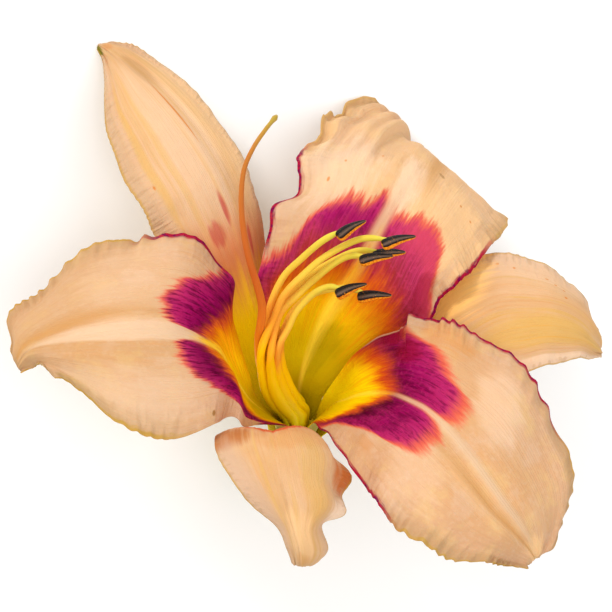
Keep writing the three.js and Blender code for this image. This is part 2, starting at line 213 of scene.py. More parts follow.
def furrowed_top(along, across):
    """The upper petal's folded back edge: furrows at the left, a long even bend at the right,
    and a bay and a bulge in its left margin."""
    lengthwise = window(along, 0.5 + 0.08 * smooth(across, -0.5, -0.2), 0.7, 0.88, 0.97)
    depth = stepped(across, [
        (-1, 0.3), (-0.93, -1.6), (-0.84, 0.2), (-0.74, -1.1), (-0.62, 0.9), (-0.52, -0.5), (-0.45, 0.5),
        (-0.36, -2.6), (-0.26, -2.4), (-0.03, 0), (0.3, -1.5), (0.55, -1.7), (0.8, -0.9), (1, 0)])
    notched = smooth(-across, 0.7, 1.0) * stepped(along, [
        (0.37, 0), (0.41, -0.5), (0.466, 2.2), (0.512, -1.5), (0.565, 0.9), (0.6, 0.5), (0.625, 0.3),
        (0.643, -1.1), (0.655, -1.0), (0.672, 1.4), (0.69, 1.1), (0.72, 0), (0.738, -0.3),
        (0.757, 1.2), (0.785, 0.5), (0.82, 0)])
    return depth * lengthwise + notched, notched


def lapped_flap(along, across):
    """The step in the right petal's upper half, whose outer part laps over the throat."""
    far_out = smooth(-across, 0.45, 0.75)
    step = window(along, 0.416, 0.434, 0.46, 0.62)
    drawn_in = window(along, 0.34, 0.41, 0.42, 0.434)
    return 1.6 * far_out * step - 0.8 * far_out * drawn_in, -1.4 * far_out**2 * drawn_in


def rolled_margin(along, across):
    """The lower sepal's margin that rolls back behind its face and comes out again."""
    step = smooth(-across, 0.70, 0.77) * window(along, 0.37, 0.42, 0.73, 0.8)
    crest = window(along, 0.28, 0.38, 0.46, 0.56) * (1 - smooth(np.abs(across), 0.3, 0.9))
    return -3.2 * step - 0.7 * crest, 1.8 * step


def nicked_margin(along, across):
    """The left petal's nick in its upper margin, where its red edging begins, and its curls
    in the lower margin near the tip."""
    nick = stepped(along, [(0.605, 0), (0.623, 0.6), (0.632, -0.6), (0.648, 0)]) * smooth(across, 0.72, 1.0)
    curl = smooth(-across, 0.7, 1.0) * stepped(along, [
        (0.65, 0), (0.71, -1.8), (0.745, -1.6), (0.77, 0.2), (0.778, 0.1), (0.802, -1.4), (0.825, -1.3),
        (0.89, -0.3), (0.94, 0)])
    return nick - 0.6 * curl, nick + curl


# The six petals and sepals. camber: how far each half bulges forward. waves: count, depth and
# start of the large waves of each margin. crimps: count, depth and start of the small pleats
# along each margin, where along it they begin, how far in they reach and where they end.
# furrows: count, depth and start. rib: its height and where along it ends. stations: rows
# from base to tip with a place on the left margin, one on the midrib and one on the right
# margin, each as x and y on the face's plane and height above the throat
TEPALS = {
    "petal_left": {
        "ring": PETAL_RING, "angle": 214, "camber": (3.5, 2), "waves": ((6.5, 1.1, 0.1), (7, 1.2, 0.3)),
        "crimps": ((46, 0.8, 0.1, 0.5, 0.84, 0.92), (46, 1.0, 0.6, 0.5, 0.72, 0.9)),
        "furrows": (1.4, 0.5, 0.3), "rib": (1, 0.8), "fold": nicked_margin,
        "stations": [
            (-4.4, -30.2, 10, -8.2, -28.6, 11, -10.2, -25.4, 10.5),
            (-9.3, -29.6, 20.5, -13.6, -24.4, 21.5, -13, -21.4, 20),
            (-12.5, -29.8, 27.5, -16, -21.8, 27.5, -14.3, -17, 26.5),
            (-15.8, -30.1, 33, -19.6, -16, 32, -17.3, -7.5, 31),
            (-18.5, -27.5, 35.5, -22.8, -10.5, 36.5, -18.5, 1.5, 34.5),
            (-23, -29.5, 38.5, -28, -7.5, 42, -19.8, 9, 38),
            (-31.5, -32.8, 41, -35.3, -5.3, 46.5, -26.5, 16.2, 43),
            (-43, -31.8, 42, -45.5, -5.5, 47.5, -39, 17.6, 43.5),
            (-53.5, -25, 40, -56.5, -7.3, 44.5, -52, 15, 41),
            (-62, -18.5, 38, -65.3, -9.5, 40.5, -65.5, 5, 37.5),
            (-66.5, -15.6, 36, -69.6, -11.5, 37.5, -72.6, -1.5, 34.5),
            (-69.8, -16.4, 33.5, -71.6, -14, 34.5, -74.3, -8.5, 33),
            (-71, -16.4, 32, -71.9, -15.3, 33, -73, -13.3, 32.3),
        ],
    },
    "petal_upper": {
        "ring": PETAL_RING, "angle": 96, "camber": (2.5, 3), "waves": ((7.5, 1.7, 0.15), (7, 1.2, 0.6)),
        "crimps": ((34, 0.7, 0.3, 0.45, 0.75, 0.96), (38, 0.9, 0.8, 0.28, 0.8, 0.96)),
        "furrows": (1.2, 0.15, 0.35), "rib": (0.8, 0.48), "fold": furrowed_top,
        "stations": [
            (-6.5, -20, 12.5, -1.5, -18, 13, 5.5, -21, 11.5),
            (-8.5, -9.5, 20, 1.8, -9.3, 21, 13, -15.5, 18),
            (-10.2, -1.5, 26, 5.5, -1.8, 28, 20, -11.5, 23.5),
            (-12.2, 5.8, 32, 10, 5, 34, 26, -8.5, 28.5),
            (-11, 11.5, 38, 14.3, 11.8, 40, 30.5, -5, 34),
            (-9, 21.3, 43, 18.3, 19.5, 45, 33.5, 1.5, 38),
            (-3.5, 28, 45, 22.3, 26.8, 48, 37.5, 5, 40.5),
            (-2, 36, 44.5, 25.3, 32, 47.5, 41, 8.5, 41.5),
            (2, 42.5, 42, 27.3, 36, 45, 45, 13.5, 40.5),
            (7, 47.3, 38.5, 28.8, 38.8, 41, 48.5, 17.5, 37.5),
            (14, 51.3, 34.5, 29.5, 39.3, 35.5, 50, 20.5, 33),
            (20.5, 46.8, 30, 28.7, 37, 29, 45.5, 22.5, 27.5),
            (23.5, 40, 26, 27.5, 33.5, 24, 36.5, 25.5, 23),
            (23.8, 34, 22.5, 26.7, 31, 20.5, 29.5, 29, 20.5),
        ],
    },
    "petal_right": {
        "ring": PETAL_RING, "angle": -22, "camber": (2, 3), "waves": ((7.5, 1.2, 0.2), (8, 1.2, 0.1)),
        "crimps": ((34, 1.1, 0.2, 0.34, 0.7, 0.93), (42, 1.3, 0.5, 0.42, 0.68, 0.9)),
        "furrows": (1.6, 0.4, 0.1), "rib": (1, 0.8), "fold": lapped_flap,
        "stations": [
            (4, -23.5, 12, 6, -25.5, 13, 1.5, -29.3, 11),
            (8, -17.5, 18, 11, -23.5, 20, 3.5, -30.8, 17),
            (11.8, -12.5, 23.5, 15, -22.5, 25.5, 5.5, -31.8, 22),
            (17.3, -8.3, 29, 19, -22.3, 30.5, 7.5, -35, 27),
            (22.3, -5.8, 34, 22.8, -22.8, 35, 10.3, -38.5, 31),
            (26.5, -3.3, 39.5, 26.5, -24.3, 39.5, 13, -42.8, 35),
            (33, -4, 43, 31, -27, 43.5, 16.5, -47.5, 38.5),
            (41, -6.5, 45, 36.3, -32.5, 46.5, 21.3, -53.8, 41),
            (50.5, -11.3, 45.5, 42.3, -40.3, 47.5, 28.8, -59.8, 42),
            (59.3, -22.5, 43.5, 48, -48.5, 46, 37.3, -63.5, 41),
            (65.6, -37.3, 40, 52.5, -54.6, 43, 45.6, -64.4, 39),
            (66, -50.5, 37, 55.4, -59, 39.5, 52.2, -65.2, 37),
            (61.5, -59.3, 35, 56.8, -61.8, 36.5, 55, -65.2, 35.5),
            (58.4, -62.8, 34, 57.2, -63, 34.8, 56, -64.5, 34.5),
        ],
    },
    "sepal_upper": {
        "ring": SEPAL_RING, "angle": 150, "camber": (1.5, 1.5), "waves": ((9, 0.6, 0.2), (7, 0.4, 0.5)),
        "crimps": ((64, 0.35, 0.2, 0.42, 0.7, 0.96), (34, 0.3, 0.4, 0.35, 0.7, 0.96)),
        "furrows": (1.5, 0.35, 0.2), "rib": (0.4, 0.8),
        "stations": [
            (-13.5, -22.5, 9, -7, -18.5, 9, -4.8, -18, 8.5),
            (-17.5, -16, 14.5, -8.8, -11.8, 15, -5.8, -10.3, 14),
            (-22, -5.5, 23.5, -12.3, 0, 25, -8.3, 1.5, 23),
            (-29, 5.8, 33, -16, 14, 37, -10.5, 16.5, 33),
            (-35.3, 14, 37.5, -19, 23.5, 43.5, -12.5, 27.8, 38),
            (-40, 22, 42, -23.3, 33.5, 49.5, -16.5, 38, 42.5),
            (-46.3, 33.8, 45.5, -30, 44, 53, -23.5, 48.5, 45.5),
            (-50, 45, 47, -38.5, 54, 53, -33.3, 58.3, 47),
            (-50.3, 56.3, 47.5, -46, 61, 50, -41.8, 64, 47),
            (-51, 61.5, 46.8, -49.8, 64, 48, -47, 65.8, 47),
            (-52.2, 64.3, 46, -51.9, 65.3, 46.3, -50.8, 65.7, 46),
        ],
    },
    "sepal_right": {
        "ring": SEPAL_RING, "angle": 30, "camber": (1.5, 1.2), "waves": ((8, 0.5, 0.1), (8, 0.4, 0.4)),
        "crimps": ((30, 0.3, 0.2, 0.35, 0.7, 0.96), (30, 0.25, 0.4, 0.35, 0.7, 0.96)),
        "furrows": (1.5, 0.3, 0.5), "rib": (0.4, 0.8),
        "stations": [
            (6.5, -21.5, 9, 9, -27, 9, 8.5, -29.5, 9),
            (15.5, -16, 15, 16, -23.5, 16, 14.5, -27.5, 15),
            (26.5, -3, 25, 27, -18.5, 25.5, 26, -27, 24),
            (35, 9, 32, 38, -12.5, 34, 37.5, -24, 31.5),
            (44.5, 13, 36.5, 48, -6.5, 39.5, 48.5, -18.5, 36.5),
            (53, 12.5, 39.5, 54.8, -5, 42.5, 55.5, -16.3, 39),
            (60, 10, 40, 61.5, -4.8, 44, 61.5, -14.6, 40.5),
            (67, 4.8, 37.5, 68, -6.5, 43, 67.8, -13.4, 40),
            (71.3, -2, 34.5, 72.3, -9.8, 40, 71.6, -13.1, 37.5),
            (73, -8, 32, 73.6, -11.3, 36, 73.5, -12.7, 34),
            (72.6, -9.3, 29.5, 73.1, -10.8, 31, 73.3, -12, 30.5),
        ],
    },
    "sepal_lower": {
        "ring": SEPAL_RING, "angle": -92, "half": 38, "camber": (4, 2),
        "waves": ((6, 0.5, 0.2), (6, 0.5, 0.6)),
        "crimps": ((28, 0.2, 0.2, 0.35, 0.8, 0.85), (28, 0.2, 0.4, 0.35, 0.8, 0.85)),
        "furrows": (1.2, 0.15, 0.7), "rib": (0.3, 0.7), "fold": rolled_margin,
        "stations": [
            (-1, -34, 9, -4.3, -33.8, 9, -7.5, -33, 9),
            (0.5, -34.5, 16, -5, -33.6, 17, -11, -31.8, 14.5),
            (2, -34, 25, -6.3, -33.2, 27, -15.5, -31.8, 19.5),
            (3.5, -33.8, 33.5, -7.6, -31.9, 37, -19.5, -32, 24.5),
            (5.5, -35, 38, -8.2, -31, 44, -21.8, -32, 30),
            (8.8, -37.6, 38.5, -8, -33, 48, -22.8, -34.5, 36.5),
            (10.8, -41.6, 38, -7.2, -37.5, 49, -20.8, -39.5, 39.5),
            (8.9, -46, 38.5, -6, -43.5, 48.5, -17.3, -45.5, 41),
            (9.6, -51.2, 38.5, -4.5, -50, 47, -12.7, -50.5, 41),
            (4.2, -54.8, 39.5, -3, -56.2, 44.5, -7.2, -55.5, 40),
            (5.3, -60.8, 36.5, -1.6, -61, 41, -4.7, -60.8, 37.5),
            (1.6, -64.3, 32, -1.3, -64.8, 35.5, -3.5, -63.8, 33),
            (-1, -61.8, 27, -2.3, -62.5, 27.5, -3.8, -61.5, 28),
        ],
    },
}


def tepal_places(spec, along, across):
    """The places of a petal or sepal, for shares along its length and across its width."""
    stations = np.array(spec["stations"], float).reshape(-1, 3, 3)
    rails = []
    for index in range(3):
        foot = ring(spec["ring"], spec["angle"] + spec.get("half", HALF_SPREAD) * (1 - index), SEAT)
        rails.append([foot] + [seen(point) for point in stations[:, index]])
    left, mid, right = (along_rail(rail, along) for rail in rails)
    step = 1e-4
    ahead = along_rail(rails[1], along + step) - along_rail(rails[1], along - step)
    forward = np.cross(right - left, ahead)
    forward /= np.linalg.norm(forward, axis=-1, keepdims=True)
    on_left = across < 0
    outward = np.where(on_left[..., None], left, right) - mid
    reach = np.linalg.norm(outward, axis=-1)
    share = np.abs(across)
    place = mid + outward * share[..., None]
    outward = outward / np.maximum(reach, SAME_PLACE)[..., None]

    def pick(values):
        return np.where(on_left, values[0], values[1])

    crests, depth, start = (pick(values) for values in zip(*spec["waves"]))
    swell = pick(spec["camber"]) * 4 * share * (1 - share) * window(along, 0.1, 0.5, 0.65, 1)
    swing = depth * share**2.2 * window(along, 0.25, 0.45, 0.93, 1) * wave(crests * along + start)

    # Small pleats at the margin, which lean outwards and back
    count, fold, offset, begin, inner, end = (pick(values) for values in zip(*spec["crimps"]))
    edge = fold * smooth(share, inner, 1.0) ** 1.2 * window(along, begin, begin + 0.14, end - 0.08, end)
    pleat = edge * uneven(along, count, offset)
    spread = PLEAT_LEAN * edge * uneven(along, count, offset + 0.31)

    # Lengthwise furrows in the outer half, and folds at single places
    count, depth, start = spec["furrows"]
    furrow = depth * window(along, 0.52, 0.72, 0.9, 1.0) * smooth(share, 0, 0.35)
    furrow = furrow * wave(count * across + start + 0.5 * along)
    fold_up, fold_out = spec["fold"](along, across) if "fold" in spec else (0.0, 0.0)

    # The midrib stands up between two shallow troughs, and veins run beside it
    side = across * reach
    rib = np.exp(-(side / RIB_WIDTH) ** 2) - np.exp(-((np.abs(side) - TROUGH_AT) / TROUGH_WIDTH) ** 2)
    rib_height, rib_end = spec["rib"]
    rib = RIB_RISE * rib * rib_height * window(along, 0.04, 0.2, rib_end, rib_end + 0.17)
    rib = rib * smooth(reach, 3, 8)
    veins = VEIN_RISE * wave(VEIN_COUNT * share) * smooth(along, 0.1, 0.3) * (1 - share**3)
    lumps = wave(2.3 * along + 1.7 * across) * wave(1.1 * across - 3.9 * along)
    lumps = LUMP_RISE * lumps * smooth(along, 0.35, 0.55) * share
    relief = swell + swing + pleat + rib + veins + lumps + furrow + fold_up
    return place + forward * relief[..., None] + outward * (spread + fold_out)[..., None]


def in_scene(name, data):
    thing = bpy.data.objects.new(name, data)
    bpy.context.scene.collection.objects.link(thing)
    return thing


def meshed(name, grid, materials):
    """The object that a bmesh becomes."""
    mesh = bpy.data.meshes.new(name)
    grid.to_mesh(mesh)
    grid.free()
    for material in materials:
        mesh.materials.append(material)
    mesh.polygons.foreach_set("use_smooth", np.full(len(mesh.polygons), True))
    return in_scene(name, mesh)


def finished(name, grid, materials, node):
    """The piece that a bmesh becomes, in place of its node of the frame."""
    piece = meshed(name, grid, materials)
    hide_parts(node)
    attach(piece, "root")
    return piece


def unit_grid(columns, rows):
    """A grid whose map runs from 0 to 1 across and along it, with its corners' shares."""
    grid = bmesh.new()
    grid.loops.layers.uv.new("UVMap")
    bmesh.ops.create_grid(grid, x_segments=columns, y_segments=rows, size=0.5, calc_uvs=True)
    grid.verts.index_update()
    shares = np.array([(corner.co.x + 0.5, corner.co.y + 0.5) for corner in grid.verts])
    return grid, shares[:, 0], shares[:, 1]


def set_corners(grid, places):
    for corner, place in zip(grid.verts, places):
        corner.co = place


def tepal_piece(name, divisions, materials):
    grid, across, along = unit_grid(*divisions)
    across = 2 * across - 1
    across = across * (MARGIN_CROWDING - (MARGIN_CROWDING - 1) * across**2)
    chart = grid.loops.layers.uv["UVMap"]
    for face in grid.faces:
        for loop in face.loops:
            loop[chart].uv.x = (across[loop.vert.index] + 1) / 2
    places = laid(tepal_places(TEPALS[name], along, across))
    places[:, 2] = np.maximum(places[:, 2], BLADE * MM / 2)
    set_corners(grid, places)
    piece = finished(name + "_blade", grid, materials, name)

    # The wall is thickest by the midrib and thins towards the margins and the tip
    thick = piece.vertex_groups.new(name="thickness")
    weights = 0.35 + 0.65 * (1 - smooth(np.abs(across), 0.05, 0.8)) * (1 - 0.5 * along)
    weights = np.round(weights * WALL_STEPS) / WALL_STEPS
    for weight in np.unique(weights):
        thick.add(np.flatnonzero(weights == weight).tolist(), float(weight), "REPLACE")
    wall = piece.modifiers.new("wall", "SOLIDIFY")
    wall.thickness = BLADE * MM
    wall.offset = 0
    wall.vertex_group = "thickness"
    wall.thickness_vertex_group = WALL_LEAST
    wall.material_offset = 1
    wall.material_offset_rim = 0
    return piece


# Materials. Light goes furthest into a petal as red, and less as green and blue
GLOW_REACH = (1.0, 0.55, 0.3)
GLOW_DEPTH = 0.0012


class Finish:
    """A node material built step by step, with its colour, roughness and relief."""

    def __init__(self, name, roughness=0.5, glow=0.0, sheen=0.02):
        self.material = bpy.data.materials.new(name)
        self.material.use_nodes = True
        self.tree = self.material.node_tree
        self.shader = self.tree.nodes["Principled BSDF"]
        looks = {"Roughness": roughness, "Specular IOR Level": sheen, "Subsurface Weight": glow,
                 "Subsurface Radius": GLOW_REACH, "Subsurface Scale": GLOW_DEPTH}
        for socket, value in looks.items():
            self.shader.inputs[socket].default_value = value

    def put(self, socket, value):
        if isinstance(value, bpy.types.NodeSocket):
            self.tree.links.new(value, socket)
        elif isinstance(value, tuple) and len(value) == 3 and socket.type == "RGBA":
            socket.default_value = (*value, 1.0)
        else:
            socket.default_value = value

    def node(self, kind, **inputs):
        """A node, with a value or a link for each socket that is named."""
        node = self.tree.nodes.new("ShaderNode" + kind)
        for socket, value in inputs.items():
            self.put(node.inputs[socket.replace("_", " ")], value)
        return node

    def math(self, operation, *values):
        node = self.node("Math")
        node.operation = operation
        for socket, value in zip(node.inputs, values):
            self.put(socket, value)
        return node.outputs[0]

    def add(self, total, *values):
        for value in values:
            total = self.math("ADD", total, value)
        return total

    def times(self, product, *values):
        for value in values:
            product = self.math("MULTIPLY", product, value)
        return product

    def minus(self, first, second):
        return self.math("SUBTRACT", first, second)

    def off(self, value, place=0.0):
        """How far the value is from the place, to either side."""
        return self.math("ABSOLUTE", self.minus(value, place))

    def sway(self, value, *swings):
        """The value moved up and down by noises, each with the size of its swing."""
        for noise, size in swings:
            value = self.add(value, self.times(self.minus(noise, 0.5), size))
        return value

    def rise(self, value, low, high):
        """0 under low, 1 over high, with a soft step between; low may be over high."""
        node = self.node("MapRange", Value=value, From_Min=low, From_Max=high)
        node.interpolation_type = "SMOOTHSTEP"
        return node.outputs["Result"]

    def mix(self, share, first, second):
        node = self.node("Mix")
        node.data_type = "RGBA"
        node.clamp_factor = True
        colour = [socket for socket in node.inputs if socket.type == "RGBA"]
        self.put(node.inputs[0], share)
        self.put(colour[0], first)
        self.put(colour[1], second)
        return next(socket for socket in node.outputs if socket.type == "RGBA")

    def coated(self, colour, *coats):
        """The colour under coats. Each coat has its hue, its strength, and the value that
        brings it in, from low to high."""
        for hue, strength, value, low, high in coats:
            colour = self.mix(self.times(self.rise(value, low, high), strength), colour, hue)
        return colour

    def ramp(self, value, stops):
        node = self.node("ValToRGB", Fac=value)
        elements = node.color_ramp.elements
        while len(elements) < len(stops):
            elements.new(0.5)
        for element, (place, colour) in zip(elements, stops):
            element.position = place
            element.color = (*colour, 1.0)
        return node.outputs["Color"]

    def curve(self, value, points):
        node = self.node("FloatCurve", Value=value)
        line = node.mapping.curves[0]
        for place, height in points[1:-1]:
            line.points.new(place, height)
        line.points[0].location = points[0]
        line.points[-1].location = points[-1]
        node.mapping.update()
        return node.outputs[0]

    def noise(self, place, scale, detail=2.0, roughness=0.5):
        node = self.node("TexNoise", Vector=place, Scale=scale, Detail=detail, Roughness=roughness)
        return node.outputs["Fac"]

    def lines(self, across, along, wide, long, seed, detail, roughness):
        """Noise in grains that are wide to the piece's width and long to its length."""
        place = self.node("CombineXYZ", X=self.times(across, wide), Y=self.times(along, long), Z=seed)
        return self.noise(place.outputs[0], 1.0, detail, roughness)

    def map_shares(self):
        """The two shares of the piece's own map, each from 0 to 1."""
        node = self.node("UVMap")
        node.uv_map = "UVMap"
        parts = self.node("SeparateXYZ", Vector=node.outputs[0])
        return parts.outputs["X"], parts.outputs["Y"]

    def blade_shares(self):
        """The share from the left margin to the right, the same from -1 to 1, and along."""
        u, along = self.map_shares()
        return u, self.minus(self.times(u, 2.0), 1.0), along

    def place(self):
        return self.node("TexCoord").outputs["Object"]

    def relief(self, height, depth, strength):
        bump = self.node("Bump", Strength=strength, Distance=depth, Height=height)
        self.put(self.shader.inputs["Normal"], bump.outputs[0])

    def colour(self, value):
        self.put(self.shader.inputs["Base Color"], value)
        return self.material


def rgb(*values):
    """A colour as light, from its red, green and blue on a screen."""
    shares = [value / 255 for value in values]
    return tuple(share / 12.92 if share <= 0.04045 else ((share + 0.055) / 1.055) ** 2.4 for share in shares)


PEACH = rgb(208, 166, 126)
PEACH_WARM = rgb(205, 154, 104)
PEACH_PINK = rgb(200, 158, 126)
PEACH_VEIN = rgb(197, 145, 96)
CREAM = rgb(216, 182, 147)
# The next two colours are painted shade, for troughs, wrinkles and shaded margins, and the two after them
# painted light; the pink one is also the paler pink of some margins.
SHADED_GOLD = rgb(194, 140, 80)
SHADED_GREY = rgb(174, 136, 96)
LIT_PEACH = rgb(238, 192, 138)
PALE_PINK_AND_PAINTED_LIGHT = rgb(234, 202, 172)
BEIGE = rgb(184, 148, 104)
GOLD = rgb(182, 142, 44)
CORAL = rgb(216, 84, 62)
ROSE = rgb(204, 70, 92)
MAGENTA = rgb(150, 12, 84)
PURPLE = rgb(112, 0, 62)
CRIMSON = rgb(132, 8, 26)
MAROON = rgb(60, 0, 26)
ORANGE_RED = rgb(188, 64, 16)
ORANGE = rgb(236, 150, 10)
YELLOW = rgb(254, 206, 6)
OLIVE = rgb(214, 186, 2)
OLIVE_DEEP = rgb(202, 178, 4)
OLIVE_SHADE = rgb(158, 140, 4)
PALE_YELLOW = rgb(250, 216, 60)
SEPAL_PEACH = rgb(214, 172, 130)
SEPAL_YELLOW = rgb(211, 165, 86)
SEPAL_ORANGE = rgb(206, 140, 72)
SEPAL_PINK = rgb(203, 168, 138)
# The next three colours are painted: light where another piece casts its shadow on a sepal, shade on the
# shaded part of the rolled flap, and a cast shadow on the lower sepal's corner.
SEPAL_PAINTED_LIGHT = rgb(255, 198, 112)
FLAP_PAINTED_SHADE = rgb(188, 100, 42)
PAINTED_CAST_SHADOW = rgb(176, 104, 52)
EDGE_RED = rgb(206, 76, 34)
BLUSH = rgb(206, 108, 60)
RED = rgb(184, 52, 54)
SPECK = rgb(206, 120, 28)
BROWN = rgb(150, 104, 50)
TIP_GREEN = rgb(126, 114, 36)
BACK_PEACH = rgb(206, 166, 116)
BACK_GREEN = rgb(163, 155, 73)
PATCH_GOLD = rgb(216, 178, 118)
PATCH_PINK = rgb(210, 174, 144)
PURPLE_LIT = rgb(172, 34, 92)
PURPLE_ROSE = rgb(188, 54, 92)
ORCHID = rgb(190, 50, 112)
ORCHID_DEEP = rgb(190, 44, 108)
EDGING_RED = rgb(164, 22, 54)
EDGING_PURPLE = rgb(116, 4, 66)
OCHRE = rgb(196, 140, 4)
SUNLIT_YELLOW = rgb(255, 222, 8)
SEPAL_WARM = rgb(209, 163, 115)
POLLEN = rgb(206, 92, 6)
POLLEN_LIT = rgb(250, 160, 24)
POLLEN_DUST = rgb(240, 150, 30)
STALK_GREEN = rgb(128, 140, 52)

# Colours that run along a piece, or round it, each with the place where it stands
THROAT_RAMP = [(0.0, OLIVE_DEEP), (0.45, OLIVE), (0.72, YELLOW), (0.9, ORANGE), (1.0, ORANGE_RED)]
THROAT_SHADE_RAMP = [(0.0, OLIVE_SHADE), (0.8, OCHRE)]
PURPLE_RAMP = [(0.0, CRIMSON), (0.2, PURPLE), (0.6, MAGENTA), (0.85, PURPLE_LIT), (1.0, PURPLE_ROSE)]
FRINGE_RAMP = [(0.0, rgb(204, 72, 20)), (0.25, rgb(176, 28, 36)), (0.9, CORAL)]
SEPAL_FOOT_RAMP = [(0.0, OLIVE_DEEP), (0.15, OLIVE), (0.32, YELLOW)]
PETAL_BACK_RAMP = [
    (0.0, BACK_GREEN), (0.2, rgb(226, 190, 88)), (0.5, BACK_PEACH), (1.0, rgb(244, 206, 158))]
SEPAL_BACK_RAMP = [
    (0.0, BACK_GREEN), (0.25, rgb(214, 190, 92)), (0.55, BACK_PEACH), (1.0, rgb(236, 200, 130))]
FILAMENT_RAMP = [
    (0.0, rgb(240, 220, 4)), (0.3, rgb(250, 214, 2)), (0.48, rgb(250, 196, 4)), (0.56, rgb(238, 156, 44)),
    (0.63, rgb(238, 166, 56)), (0.72, rgb(236, 192, 66)), (1.0, rgb(208, 196, 66))]
# Round the anther: dark, with a lighter grey-brown strip on its back that is a painted highlight.
ANTHER_RAMP = [
    (0.0, rgb(10, 6, 8)), (0.06, rgb(14, 9, 10)), (0.13, rgb(104, 82, 66)), (0.17, rgb(56, 42, 38)),
    (0.2, rgb(8, 5, 6)), (0.9, rgb(8, 5, 6))]
STYLE_RAMP = [
    (0.0, rgb(226, 196, 20)), (0.3, rgb(240, 166, 14)), (0.45, rgb(220, 120, 36)),
    (0.6, rgb(200, 96, 34)), (0.88, rgb(182, 110, 40)), (0.975, rgb(176, 146, 60))]
TUBE_RAMP = [
    (0.0, rgb(150, 160, 62)), (0.3, rgb(178, 176, 70)), (0.62, rgb(222, 202, 70)),
    (0.8, rgb(240, 218, 40)), (1.0, rgb(240, 218, 40))]
STALK_RAMP = [
    (0.0, rgb(176, 190, 108)), (0.22, rgb(150, 172, 92)), (0.3, rgb(116, 148, 66)), (1.0, rgb(138, 160, 70))]
